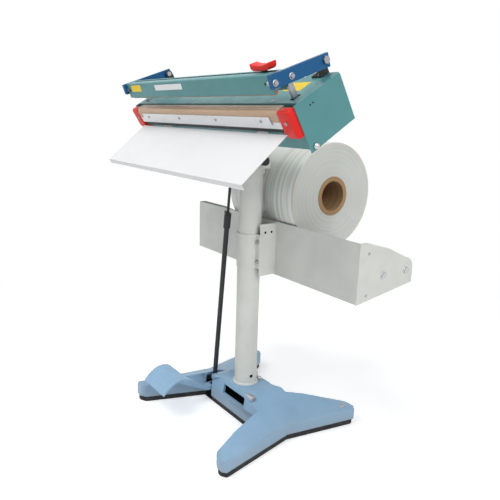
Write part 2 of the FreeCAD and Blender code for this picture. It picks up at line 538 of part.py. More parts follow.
def build_lower_jaw():
    """Seal bar, heating strip, slip cloth, its retaining strip, the red end blocks and the table."""
    length = "bar_half * 2"
    bar_line = outline("bar_line", "YZ", [
        ("bar_front", "bar_low"), ("bar_front + bar_depth", "bar_low"),
        ("bar_front + bar_depth", "bar_high - 4"), ("bar_front + bar_depth - 4", "bar_high"),
        ("bar_front + 8", "bar_high"), ("bar_front + 2.4", "bar_high - 2.4", "bar_front", "bar_high - 8")],
        "-bar_half")
    seat(slab("seal_bar_solid", bar_line, ALONG_X, length), "seal_bar", HEAD)
    middle = "bar_front + bar_depth / 2 + 3"
    seat(box("element_strip", ("-bar_half + 4", middle + " - element_width / 2", "bar_high"),
             ("bar_half * 2 - 8", "element_width", "element_metal")), "heating_strip", HEAD)
    top = "bar_high + element_metal"
    cloth_line = outline("cloth_line", "YZ", [
        ("bar_front", "bar_high - 8"),
        ("bar_front + 2.4", "bar_high - 2.4", "bar_front + 8", "bar_high"),
        (middle + " - element_width / 2 - 1", "bar_high"), (middle + " - element_width / 2", top),
        (middle + " + element_width / 2", top), (middle + " + element_width / 2 + 1", "bar_high"),
        ("bar_front + bar_depth - 4", "bar_high"),
        ("bar_front + bar_depth - 4", "bar_high + cover_sheet"),
        (middle + " + element_width / 2 + 1", "bar_high + cover_sheet"),
        (middle + " + element_width / 2", top + " + cover_sheet"),
        (middle + " - element_width / 2", top + " + cover_sheet"),
        (middle + " - element_width / 2 - 1", "bar_high + cover_sheet"),
        ("bar_front + 8", "bar_high + cover_sheet"),
        ("bar_front + 2.4 - cover_sheet * 0.7", "bar_high - 2.4 + cover_sheet * 0.7",
         "bar_front - cover_sheet", "bar_high - 8"),
        ("bar_front - cover_sheet", "strip_high - cover_drop"), ("bar_front", "strip_high - cover_drop")],
        "-bar_half + 1")
    seat(slab("slip_cloth_solid", cloth_line, ALONG_X, "bar_half * 2 - 2"), "slip_cloth", HEAD)
    strip = box("strip_plate", ("-strip_half", "bar_front - cover_sheet - strip_metal", "strip_low"),
                ("strip_half * 2", "strip_metal", "strip_high - strip_low"))
    seat(strip, "cloth_strip", HEAD)
    screws = []
    for number in range(4):
        x = "-strip_half + 30 + (strip_half * 2 - 60) * %.4f" % (number / 3.0)
        screws.append(rod("strip_screw_%d" % number,
                          (x, "bar_front - cover_sheet - strip_metal - 2", "(strip_low + strip_high) / 2"),
                          "3.5", "2", "Y"))
    seat(group("strip_screw_set", *screws), "strip_screws", HEAD)
    seat(box("under_channel", ("-bar_half", "bar_front + 4", "channel_low"),
             ("bar_half * 2", "housing_front - bar_front - 4", "channel_high - channel_low")),
         "under_channel", HEAD)
    blocks = []
    for side in SIDES:
        line = outline("block_line_" + side, "YZ", [
            ("block_front", "block_low + block_chamfer * 2"), ("block_front", "block_high - 3"),
            ("block_front + 3", "block_high"), ("block_rear - 3", "block_high"),
            ("block_rear", "block_high - 3"), ("block_rear", "block_low"),
            ("block_front + block_chamfer", "block_low")],
            span_from(side, "block_inner", "head_half - cheek_metal - block_inner - block_wall_gap"))
        blocks.append(slab("block_" + side, line, ALONG_X,
                           "head_half - cheek_metal - block_inner - block_wall_gap"))
    seat(group("end_block_set", *blocks), "end_blocks", HEAD)
    slope = "table_slope * 1 deg"
    down = "table_metal"
    front_y = "table_rear - table_length * cos(%s)" % slope
    front_z = "table_rear_z - table_length * sin(%s)" % slope
    table_line = outline("table_line", "YZ", [
        ("table_rear", "table_rear_z"), ("table_rear", "table_rear_z - " + down),
        (front_y + " + table_metal", front_z + " - " + down),
        (front_y + " + table_metal", front_z + " - table_lip"), (front_y, front_z + " - table_lip"),
        (front_y, front_z)], "-table_half")
    seat(slab("work_table_solid", table_line, ALONG_X, "table_half * 2"), "work_table", HEAD)
    arms = []
    for side in SIDES:
        drop = "table_arm_length * table_length * sin(%s) / (table_length * cos(%s) - table_metal)" % (slope, slope)
        line = outline("table_arm_line_" + side, "YZ", [
            ("housing_front", "table_rear_z - 32"), ("housing_front", "table_rear_z - 2"),
            ("table_rear", "table_rear_z - " + down),
            ("table_rear - table_arm_length", "table_rear_z - %s - (%s)" % (down, drop)),
            ("table_rear - table_arm_length", "table_rear_z - %s - (%s) - 6" % (down, drop))],
            span_from(side, "table_arm_x", "table_arm_metal"))
        arms.append(slab("table_arm_" + side, line, ALONG_X, "table_arm_metal"))
    seat(group("table_bracket_set", *arms), "table_brackets", HEAD)
    lugs = []
    for side in SIDES:
        low = span_from(side, "jaw_half - lug_gap - lug_metal", "lug_metal")
        half = "lug_width / 2"
        line = outline("lug_line_" + side, "YZ", [
            ("jaw_pivot_y - " + half, "housing_height"), ("jaw_pivot_y + 9", "housing_height"),
            ("jaw_pivot_y + 9", "jaw_pivot_z"),
            ("jaw_pivot_y", "jaw_pivot_z + 9", "jaw_pivot_y - 9", "jaw_pivot_z")], low)
        plate = slab("lug_plate_" + side, line, ALONG_X, "lug_metal")
        foot_low = span_from(side, "jaw_half - lug_gap - lug_metal - lug_foot", "lug_foot")
        foot = box("lug_foot_" + side, (foot_low, "jaw_pivot_y - " + half, "housing_height"),
                   ("lug_foot", half + " + 9", "4"))
        hole = rod("lug_hole_" + side, (span_from(side, "jaw_half - 30", "60"), "jaw_pivot_y", "jaw_pivot_z"),
                   "pin_radius", "60", "X")
        lugs.append(less("lug_" + side, join("lug_solid_" + side, plate, foot), hole))
    seat(group("pivot_lug_set", *lugs), "pivot_lugs", HEAD)
    pins = []
    bolts = []
    for side in SIDES:
        reach = "lug_metal + lug_gap + arm_metal + side_gap"
        low = span_from(side, "jaw_half - lug_gap - lug_metal", reach)
        pin = rod("pivot_pin_" + side, (low, "jaw_pivot_y", "jaw_pivot_z"), "pin_radius", reach, "X")
        head_low = span_from(side, "jaw_half + arm_metal + side_gap", "arm_bolt_head_length")
        head = hex_bar("pivot_head_" + side, (head_low, "jaw_pivot_y", "jaw_pivot_z"), "arm_bolt_head",
                       "arm_bolt_head_length", "X")
        pins.append(join("pivot_bolt_" + side, pin, head))
        middle = span_from(side, "jaw_half - lug_gap - lug_metal - lug_foot / 2 - 5", "0")
        for number, y in enumerate(("jaw_pivot_y - 7", "jaw_pivot_y + 4")):
            bolts.append(hex_bar("lug_bolt_%s_%d" % (side, number), (middle, y, "housing_height + 4"),
                                 "4.2", "3.5"))
    seat(group("pivot_pin_set", *pins), "jaw_pivot_pins", HEAD)
    seat(group("lug_bolt_set", *bolts), "lug_bolts", HEAD)


def build_upper_jaw():
    """Swinging beam with its pad, arms and bolts, and the sliding cutter."""
    wall = "jaw_wall"
    rear = "jaw_front + jaw_depth"
    beam_line = outline("beam_line", "YZ", [
        ("jaw_front", "jaw_low"), ("jaw_front", "jaw_high - 3"),
        ("jaw_front + 0.9", "jaw_high - 0.9", "jaw_front + 3", "jaw_high"), (rear, "jaw_high"),
        (rear, "jaw_low"), (rear + " - jaw_wall", "jaw_low"), (rear + " - jaw_wall", "jaw_high - jaw_wall"),
        ("jaw_front + jaw_wall", "jaw_high - jaw_wall"), ("jaw_front + jaw_wall", "jaw_low")],
        "-jaw_half")
    beam = slab("jaw_beam_solid", beam_line, ALONG_X, "jaw_half * 2")
    slot = box("cutter_slot", ("-cutter_slot_half", "cutter_slot_y - cutter_slot_width / 2", "jaw_high - 6"),
               ("cutter_slot_half * 2", "cutter_slot_width", "20"))
    seat(less("jaw_beam_cut", beam, slot), "jaw_beam", JAW)
    pad_middle = "jaw_front + jaw_wall + pad_width / 2 + 1"
    holder = box("pad_holder", ("-jaw_half + 4", "jaw_front + jaw_wall", "jaw_low + pad_depth"),
                 ("jaw_half * 2 - 8", "pad_width + 2", "6"))
    seat(holder, "pad_holder", JAW)
    pad_line = outline("pad_line", "YZ", [
        (pad_middle + " - pad_width / 2", "jaw_low + pad_depth"),
        (pad_middle + " - pad_width / 2", "jaw_low"),
        (pad_middle, "jaw_low - pad_proud", pad_middle + " + pad_width / 2", "jaw_low"),
        (pad_middle + " + pad_width / 2", "jaw_low + pad_depth")], "-bar_half")
    seat(slab("sealing_pad_solid", pad_line, ALONG_X, "bar_half * 2"), "sealing_pad", JAW)
    bolts = []
    arms = []
    for side in SIDES:
        low = span_from(side, "jaw_half", "arm_metal")
        line = outline("arm_line_" + side, "YZ", [
            ("arm_front", "arm_low + 3"), ("arm_front", "arm_high"), ("arm_rear", "arm_high"),
            ("arm_rear", "arm_low"), ("arm_front + 3", "arm_low")], low)
        arm = slab("arm_bar_" + side, line, ALONG_X, "arm_metal")
        hole = rod("arm_hole_" + side, (span_from(side, "jaw_half - 20", "50"), "0", "0"),
                   "pin_radius + running_gap", "50", "X")
        holes = [hole]
        for number, (y, z) in enumerate((("arm_bolt_front", "arm_bolt_drop - 1"),
                                         ("arm_bolt_mid", "arm_bolt_drop"))):
            inner = "jaw_half" if number == 0 else "jaw_half - link_gap - link_metal - 2"
            reach = "jaw_half + arm_metal - (%s)" % inner
            holes.append(rod("arm_bolt_hole_%s_%d" % (side, number),
                             (span_from(side, "jaw_half - 20", "50"), y, z), "arm_bolt_radius", "50", "X"))
            shank = rod("arm_bolt_shank_%s_%d" % (side, number), (span_from(side, inner, reach), y, z),
                        "arm_bolt_radius", reach, "X")
            head = hex_bar("arm_bolt_head_%s_%d" % (side, number),
                           (span_from(side, "jaw_half + arm_metal", "arm_bolt_head_length"), y, z),
                           "arm_bolt_head", "arm_bolt_head_length", "X")
            bolts.append(join("arm_bolt_%s_%d" % (side, number), shank, head))
        arms.append(less("arm_" + side, arm, *holes))
    seat(group("jaw_arm_set", *arms), "jaw_arms", JAW)
    seat(group("arm_bolt_set", *bolts), "arm_bolts", JAW)
    stem = rod("cutter_stem", ("cutter_x", "cutter_slot_y", "jaw_high + stem_gap"), "stem_radius", "stem_height")
    neck = rod("cutter_neck", ("cutter_x", "cutter_slot_y", "jaw_high - jaw_wall - 4"),
               "cutter_slot_width / 2 - stem_gap", "jaw_wall + 6")
    under = box("cutter_shoe", ("cutter_x - carriage_length / 2", "cutter_slot_y - 7",
                                "jaw_high - jaw_wall - stem_gap - carriage_height"),
                ("carriage_length", "14", "carriage_height"))
    seat(join("cutter_carriage_solid", stem, neck, under), "cutter_carriage", JAW)
    blade = outline("blade_line", "XZ", [
        ("cutter_x - 5", "jaw_high - jaw_wall - stem_gap - carriage_height"),
        ("cutter_x + 5", "jaw_high - jaw_wall - stem_gap - carriage_height"),
        ("cutter_x", "jaw_low + 4")], "cutter_slot_y")
    seat(slab("cutter_blade_solid", blade, ALONG_Y, "0.6"), "cutter_blade", JAW)
    base = "jaw_high + stem_gap + stem_height"
    half = "knob_length / 2"
    wing = outline("knob_line", "XZ", [
        ("cutter_x - %s + 4" % half, base), ("cutter_x + %s - 10" % half, base),
        ("cutter_x + %s - 2" % half, base + " + 3", "cutter_x + " + half, base + " + knob_height * 0.5"),
        ("cutter_x + %s - 3" % half, base + " + knob_height"),
        ("cutter_x", base + " + knob_height - knob_dip", "cutter_x - %s + 12" % half, base + " + knob_height - 1"),
        ("cutter_x - " + half, base + " + knob_height * 0.7")], "cutter_slot_y + knob_depth / 2")
    seat(slab("cutter_knob_solid", wing, Vector(0, -1, 0), "knob_depth"), "cutter_knob", JAW)


def build_yoke():
    """Link bars that pull the jaw down, and the cross bar inside the housing that carries them."""
    turn_y = "jaw_pivot_y + arm_bolt_mid * cos(open_angle * 1 deg) + arm_bolt_drop * sin(open_angle * 1 deg)"
    turn_z = "jaw_pivot_z - arm_bolt_mid * sin(open_angle * 1 deg) + arm_bolt_drop * cos(open_angle * 1 deg)"
    half = "link_width / 2"
    links = []
    for side in SIDES:
        low = span_from(side, "jaw_half - link_gap - link_metal", "link_metal")
        foot_y = "(yoke_front + yoke_rear) / 2"
        line = outline("link_line_" + side, "YZ", [
            (foot_y + " - " + half, "yoke_high"), (foot_y + " + " + half, "yoke_high"),
            ("%s + %s" % (turn_y, half), turn_z),
            (turn_y, "%s + %s" % (turn_z, half), "%s - %s" % (turn_y, half), turn_z)], low)
        bar = slab("link_bar_" + side, line, ALONG_X, "link_metal")
        hole = rod("link_hole_" + side, (span_from(side, "jaw_half - 30", "60"), turn_y, turn_z),
                   "arm_bolt_radius + link_hole_gap", "60", "X")
        links.append(less("link_" + side, bar, hole))
    seat(group("link_bar_set", *links), "link_bars", HEAD)
    cross = box("yoke_cross", ("-jaw_half + link_gap", "yoke_front", "yoke_low"),
                ("jaw_half * 2 - link_gap * 2", "yoke_rear - yoke_front", "yoke_high - yoke_low"))
    tongue = box("yoke_tongue", ("tongue_left", "yoke_rear - 2", "yoke_low"),
                 ("tongue_right - tongue_left", "tongue_rear - yoke_rear + 2", "yoke_plate"))
    eye = box("yoke_eye", ("yoke_eye_left", "yoke_eye_front", "0"),
              ("yoke_eye_right - yoke_eye_left", "yoke_eye_rear - yoke_eye_front", "yoke_high * 2"))
    seat(less("pull_yoke_cut", join("pull_yoke_solid", cross, tongue), eye), "pull_yoke", HEAD)


def build_bracket():
    """Socket on the column, the gussets and the flange that carries the housing."""
    socket = rod("socket_outer", ("0", "0", "socket_low"), "socket_radius", "column_top - socket_low")
    bore = rod("socket_bore", ("0", "0", "socket_low - 5"), "column_radius", "column_top - socket_low + 20")
    keep(less("head_socket", socket, bore), "head_socket")
    slope = "tan(head_tilt * 1 deg)"
    lift = "flange_metal / cos(head_tilt * 1 deg)"
    plates = []
    for side in SIDES:
        line = outline("socket_plate_line_" + side, "YZ", [
            ("-socket_radius", "socket_low + 14"), ("socket_radius", "socket_low + 14"),
            ("socket_radius", "head_height - %s + socket_radius * %s" % (lift, slope)),
            ("flange_front * 0.8", "head_height - %s + flange_front * 0.8 * %s" % (lift, slope))],
            span_from(side, "gusset_x", "plate_metal"))
        plate = slab("socket_plate_" + side, line, ALONG_X, "plate_metal")
        plates.append(less("socket_plate_cut_" + side, plate,
                           box("socket_plate_end_" + side, ("-200", "socket_radius * 0.9", "0"),
                               ("400", "200", "900"))))
    keep(group("head_gusset_set", *plates), "head_gussets")
    flange = box("flange_plate", ("-flange_x", "flange_front", "-flange_metal"),
                 ("flange_x * 2", "flange_rear - flange_front + 4", "flange_metal"))
    opening = box("flange_rod_hole", ("-30", "-90", "-20"), ("60", "62", "40"))
    seat(less("head_flange_cut", flange, opening), "head_flange", HEAD)
    grip = rod("clamp_knob_grip", ("gusset_x + plate_metal + 4", "0", "clamp_knob_z"), "clamp_knob_radius",
               "clamp_knob_length", "X")
    stem = rod("clamp_knob_stem", ("gusset_x + plate_metal", "0", "clamp_knob_z"), "5", "5", "X")
    keep(join("head_clamp_knob", grip, stem), "head_clamp_knob")


def build_trough():
    """Film trough with its rollers and roll, and the clamp that holds it on the column."""
    metal = "trough_metal"
    sheet_line = outline("trough_line", "YZ", [
        ("trough_front", "trough_low"), ("trough_rear", "trough_rear_z"),
        ("trough_rear", "trough_rear_z + trough_lip"),
        ("trough_rear - trough_metal", "trough_rear_z + trough_lip"),
        ("trough_rear - trough_metal", "trough_rear_z + trough_metal"),
        ("trough_front + trough_metal", "trough_low + trough_metal"),
        ("trough_front + trough_metal", "trough_high"), ("trough_front", "trough_high")],
        "-trough_half + end_metal")
    keep(slab("trough_sheet", sheet_line, ALONG_X, "trough_half * 2 - end_metal * 2"), "trough_sheet")
    ends = []
    for side in SIDES:
        line = outline("trough_end_line_" + side, "YZ", [
            ("trough_front", "trough_low - 1"), ("trough_rear + 2", "trough_rear_z - 1"),
            ("trough_rear + 2", "end_nose_z"),
            ("trough_rear - 5", "(end_nose_z + end_back_z) / 2 + 3", "end_back_y", "end_back_z"),
            ("end_shoulder_y", "end_shoulder_z"), ("trough_front + 20", "trough_high"),
            ("trough_front", "trough_high")], span_from(side, "trough_half - end_metal", "end_metal"))
        plate = slab("trough_end_plate_" + side, line, ALONG_X, "end_metal")
        holes = [rod("shaft_hole_%s_%d" % (side, n), (span_from(side, "trough_half - 20", "40"), y, "roller_z"),
                     "shaft_radius", "40", "X") for n, y in enumerate(("roller_front_y", "roller_rear_y"))]
        ends.append(less("trough_end_" + side, plate, *holes))
    keep(group("trough_end_set", *ends), "trough_ends")
    nuts = []
    shafts = []
    for place, y in (("front", "roller_front_y"), ("rear", "roller_rear_y")):
        tube = rod("roller_tube_" + place, ("-roller_half", y, "roller_z"), "roller_radius", "roller_half * 2", "X")
        bore = rod("roller_bore_" + place, ("-roller_half - 5", y, "roller_z"), "shaft_radius + running_gap",
                   "roller_half * 2 + 10", "X")
        keep(less("roller_" + place, tube, bore), "roller_" + place)
        shafts.append(rod("roller_shaft_" + place, ("-trough_half", y, "roller_z"), "shaft_radius",
                          "trough_half * 2", "X"))
        for side in SIDES:
            nuts.append(hex_bar("shaft_nut_%s_%s" % (place, side),
                                (span_from(side, "trough_half", "shaft_nut_length"), y, "roller_z"),
                                "shaft_nut_radius", "shaft_nut_length", "X"))
    keep(group("roller_shaft_set", *shafts), "roller_shafts")
    keep(group("shaft_nut_set", *nuts), "shaft_nuts")
    middle = "(roller_front_y + roller_rear_y) / 2"
    reach = "(roll_radius + roller_radius + roll_gap)"
    rise = "roller_z + sqrt(%s * %s - (roller_rear_y - roller_front_y) * (roller_rear_y - roller_front_y) / 4)"
    height = rise % (reach, reach)
    wound = rod("roll_outer", ("roll_left", middle, height), "roll_radius", "roll_right - roll_left", "X")
    inside = rod("roll_inside", ("roll_left - 5", middle, height), "core_radius",
                 "roll_right - roll_left + 10", "X")
    keep(less("film_roll", wound, inside), "film_roll")
    core = rod("core_outer", ("roll_left", middle, height), "core_radius", "roll_right - roll_left", "X")
    bore = rod("core_hole", ("roll_left - 5", middle, height), "core_bore", "roll_right - roll_left + 10", "X")
    keep(less("film_core", core, bore), "film_core")
    tall = "bracket_high - bracket_low"
    web = box("bracket_web", ("-bracket_x", "trough_front - bracket_metal", "bracket_low"),
              ("bracket_x * 2", "bracket_metal", tall))
    walls = [web]
    for side in SIDES:
        walls.append(box("bracket_wall_" + side,
                         (span_from(side, "bracket_x - bracket_metal", "bracket_metal"), "0", "bracket_low"),
                         ("bracket_metal", "trough_front", tall)))
        walls.append(box("bracket_ear_" + side,
                         (span_from(side, "ear_inner", "bracket_x - ear_inner"), "0", "clamp_low"),
                         ("bracket_x - ear_inner", "bracket_metal", "clamp_high - clamp_low")))
    keep(join("trough_bracket", *walls), "trough_bracket")
    ring_out = rod("clamp_outer", ("0", "0", "clamp_low"), "column_radius + bracket_metal",
                   "clamp_high - clamp_low")
    ring_in = rod("clamp_inner", ("0", "0", "clamp_low - 5"), "column_radius", "clamp_high - clamp_low + 10")
    behind = box("clamp_behind", ("-100", "0", "clamp_low - 5"), ("200", "100", "clamp_high - clamp_low + 10"))
    shell = less("clamp_half", ring_out, ring_in, behind)
    ears = []
    for side in SIDES:
        ears.append(box("clamp_ear_" + side,
                        (span_from(side, "column_radius + bracket_metal / 2",
                                   "bracket_x - column_radius - bracket_metal / 2"), "-bracket_metal", "clamp_low"),
                        ("bracket_x - column_radius - bracket_metal / 2", "bracket_metal",
                         "clamp_high - clamp_low")))
    keep(join("clamp_shell", shell, *ears), "clamp_shell")
    bolts = []
    for side in SIDES:
        x = span_from(side, "clamp_bolt_x", "0")
        for number, z in enumerate(("clamp_bolt_low", "clamp_bolt_high")):
            bolts.append(hex_bar("clamp_bolt_%s_%d" % (side, number),
                                 (x, "-bracket_metal - clamp_bolt_length", z), "clamp_bolt_head",
                                 "clamp_bolt_length", "Y"))
    keep(group("clamp_bolt_set", *bolts), "clamp_bolts")


def check_and_write():
    """Stop on any failed object, then write one file for each sub-part."""
    doc.recompute()
    for item in doc.Objects:
        if "Invalid" in item.State or "Error" in item.State:
            raise RuntimeError("%s failed: %s" % (item.Label, item.State))
    for label, item in NODES.items():
        shape = item.Shape
        if shape.isNull() or not shape.isValid():
            raise RuntimeError("%s has no valid shape" % label)
    os.makedirs("parts", exist_ok=True)
    for label, item in NODES.items():
        item.Shape.exportStep("parts/%s.step" % label)
        print(label, len(item.Shape.Solids), "solids", round(item.Shape.Volume / 1000.0, 1), "cm3")


build_base()
build_pedal()
build_pull_rod()
build_housing()
build_lower_jaw()
build_upper_jaw()
build_yoke()
build_bracket()
build_trough()
check_and_write()
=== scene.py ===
"""Looks of the foot-operated impulse sealer: finishes, small fittings, stage, light and camera."""

import json
import logging
import math
from dataclasses import dataclass, field
from enum import Enum
from typing import Dict, List, Optional, Sequence, Tuple

import bmesh
import bpy
from mathutils import Matrix, Vector


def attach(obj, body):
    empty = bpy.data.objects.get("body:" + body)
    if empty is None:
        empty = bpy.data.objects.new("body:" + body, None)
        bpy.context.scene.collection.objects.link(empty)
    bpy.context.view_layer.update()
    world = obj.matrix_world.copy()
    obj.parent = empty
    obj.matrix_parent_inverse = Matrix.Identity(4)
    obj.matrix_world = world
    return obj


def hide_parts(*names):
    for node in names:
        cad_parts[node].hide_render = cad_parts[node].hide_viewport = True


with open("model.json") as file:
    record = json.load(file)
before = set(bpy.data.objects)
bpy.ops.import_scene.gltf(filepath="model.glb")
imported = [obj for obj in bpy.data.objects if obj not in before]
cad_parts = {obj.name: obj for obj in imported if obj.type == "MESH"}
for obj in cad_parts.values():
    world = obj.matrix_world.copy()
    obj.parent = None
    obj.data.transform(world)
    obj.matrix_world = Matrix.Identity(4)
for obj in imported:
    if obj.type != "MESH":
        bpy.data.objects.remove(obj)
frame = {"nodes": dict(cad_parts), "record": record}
LOG = logging.getLogger("sealer")
MM = 0.001
SHEEN = 0.28
FINE_GRAIN = 0.0002
PHOTO_SIDE = 500.0
HEAD_PLACE = (0.0, 0.0, 0.792)
HEAD_TILT = math.radians(31.5)
HEAD = Matrix.Translation(HEAD_PLACE) @ Matrix.Rotation(HEAD_TILT, 4, "X")
JAW_PIVOT = (0.0, -0.068794, 0.900434)
JAW_TILT = math.radians(20.25)
JAW = Matrix.Translation(JAW_PIVOT) @ Matrix.Rotation(JAW_TILT, 4, "X")
WORLD = Matrix.Identity(4)
ROLL_CENTRE = Vector((0.0, 0.175, 0.601129))
Colour = Tuple[float, float, float]
Point = Tuple[float, float, float]
Pair = Tuple[float, float]
Profile = Sequence[Pair]
SHARP_EDGE = math.radians(35.0)
SMOOTH_EDGE = math.radians(38.0)
ROUNDED_EDGE = math.radians(28.0)
ROUNDING_STEPS = 3
MERGE = 1e-4
NODE_MERGE = 1e-5
LABEL_THICKNESS = 0.3
LABEL_ROUND = 0.1
WASHER_THICKNESS = 1.2
WASHER_REACH = 1.3
MIX_SHARE, MIX_RESULT, MIX_FIRST, MIX_SECOND = 0, 2, 6, 7


class Slot(Enum):
    """Material slots of the record."""

    TEAL = "teal_paint"
    BLUE = "blue_paint"
    RED = "red_plastic"
    WHITE = "white_paint"
    OFFWHITE = "offwhite_paint"
    BASE = "base_paint"
    RUBBER = "black_rubber"
    BLACK_METAL = "black_metal"
    STEEL = "bright_steel"
    CHROME = "chrome"
    ALUMINIUM = "bar_aluminium"
    CLOTH = "slip_cloth"
    SILICONE = "silicone"
    FILM = "film"
    CARD = "card"
    BLACK_PLASTIC = "black_plastic"
    COIL = "coil"
    BOARD = "board"


class Trim(Enum):
    """Finishes of label places and of the painted shade in small holes, which the record has no slot for.
    """

    YELLOW = "yellow_label"
    PALE = "pale_label"
    HOLE_SHADE = "painted_hole_shade"


class Axis(Enum):
    """Direction that a round piece runs along in its frame."""

    X = 0
    Y = 1
    Z = 2


class Graph:
    """Small helper that builds one material's node tree."""

    def __init__(self, name: str) -> None:
        """Start an empty tree with an output and a Principled shader.

        Args:
            name: name of the material.
        """
        self.material = bpy.data.materials.new(name)
        self.material.use_nodes = True
        self.tree = self.material.node_tree
        self.tree.nodes.clear()
        self.out = self.tree.nodes.new("ShaderNodeOutputMaterial")
        self.shader = self.tree.nodes.new("ShaderNodeBsdfPrincipled")
        self.tree.links.new(self.shader.outputs["BSDF"], self.out.inputs["Surface"])
        self.coords = self.tree.nodes.new("ShaderNodeTexCoord").outputs["Object"]

    def link(self, source: bpy.types.NodeSocket, target: bpy.types.NodeSocket) -> None:
        """Join two sockets."""
        self.tree.links.new(source, target)

    def stretched(self, scale: Point) -> bpy.types.NodeSocket:
        """Object coordinates scaled by axis.

        Args:
            scale: factor for X, Y and Z.

        Returns:
            The vector socket.
        """
        node = self.tree.nodes.new("ShaderNodeMapping")
        node.inputs["Scale"].default_value = scale
        self.link(self.coords, node.inputs["Vector"])
        return node.outputs["Vector"]

    def noise(self, scale: float, detail: float = 3.0,
              vector: Optional[bpy.types.NodeSocket] = None) -> bpy.types.NodeSocket:
        """Fractal noise over the object.

        Args:
            scale: repeats per metre.
            detail: octaves.
            vector: coordinates, or None for plain object coordinates.

        Returns:
            The noise value.
        """
        node = self.tree.nodes.new("ShaderNodeTexNoise")
        node.inputs["Scale"].default_value = scale
        node.inputs["Detail"].default_value = detail
        self.link(vector or self.coords, node.inputs["Vector"])
        return node.outputs["Fac"]

    def mapped(self, value: bpy.types.NodeSocket, low: float, high: float,
               to_low: float, to_high: float) -> bpy.types.NodeSocket:
        """Rescale a value and clamp it.

        Args:
            value: input.
            low: input low end.
            high: input high end.
            to_low: output at the low end.
            to_high: output at the high end.

        Returns:
            The rescaled value.
        """
        node = self.tree.nodes.new("ShaderNodeMapRange")
        places = ("From Min", "From Max", "To Min", "To Max")
        for place, number in zip(places, (low, high, to_low, to_high)):
            node.inputs[place].default_value = number
        self.link(value, node.inputs["Value"])
        return node.outputs["Result"]

    def blend(self, share: bpy.types.NodeSocket, first: Colour, second: Colour,
              under: Optional[bpy.types.NodeSocket] = None) -> bpy.types.NodeSocket:
        """Mix two colours.

        Args:
            share: how much of the second.
            first: first colour, used when under is None.
            second: second colour.
            under: colour socket in place of the first.

        Returns:
            The mixed colour.
        """
        node = self.tree.nodes.new("ShaderNodeMix")
        node.data_type = "RGBA"
        node.inputs[MIX_FIRST].default_value = (*first, 1.0)
        node.inputs[MIX_SECOND].default_value = (*second, 1.0)
        if under is not None:
            self.link(under, node.inputs[MIX_FIRST])
        self.link(share, node.inputs[MIX_SHARE])
        return node.outputs[MIX_RESULT]

    def height(self) -> bpy.types.NodeSocket:
        """Find the height above the floor.

        Returns:
            The height in metres.
        """
        node = self.tree.nodes.new("ShaderNodeSeparateXYZ")
        self.link(self.coords, node.inputs[0])
        return node.outputs["Z"]

    def edges(self, reach: float) -> bpy.types.NodeSocket:
        """A mask that is high along worn outer edges.

        Args:
            reach: width of the edge in metres.

        Returns:
            Mask from 0 to 1.
        """
        rounded = self.tree.nodes.new("ShaderNodeBevel")
        rounded.samples = 4
        rounded.inputs["Radius"].default_value = reach
        flat = self.tree.nodes.new("ShaderNodeNewGeometry")
        dot = self.tree.nodes.new("ShaderNodeVectorMath")
        dot.operation = "DOT_PRODUCT"
        self.link(rounded.outputs["Normal"], dot.inputs[0])
        self.link(flat.outputs["Normal"], dot.inputs[1])
        return self.mapped(dot.outputs["Value"], 0.98, 0.80, 0.0, 1.0)

    def bump(self, value: bpy.types.NodeSocket, strength: float, distance: float) -> None:
        """Raise the surface by a value.

        Args:
            value: height.
            strength: how strongly it shows.
            distance: height in metres.
        """
        node = self.tree.nodes.new("ShaderNodeBump")
        node.inputs["Strength"].default_value = strength
        node.inputs["Distance"].default_value = distance
        self.link(value, node.inputs["Height"])
        self.link(node.outputs["Normal"], self.shader.inputs["Normal"])

    def colour(self, socket: bpy.types.NodeSocket) -> None:
        """Drive the base colour."""
        self.link(socket, self.shader.inputs["Base Color"])

    def roughness(self, socket: bpy.types.NodeSocket) -> None:
        """Drive the roughness."""
        self.link(socket, self.shader.inputs["Roughness"])

    def set(self, **values: float) -> None:
        """Set plain values on the shader, with underscores for spaces in names."""
        for name, value in values.items():
            self.shader.inputs[name.replace("_", " ").title()].default_value = value


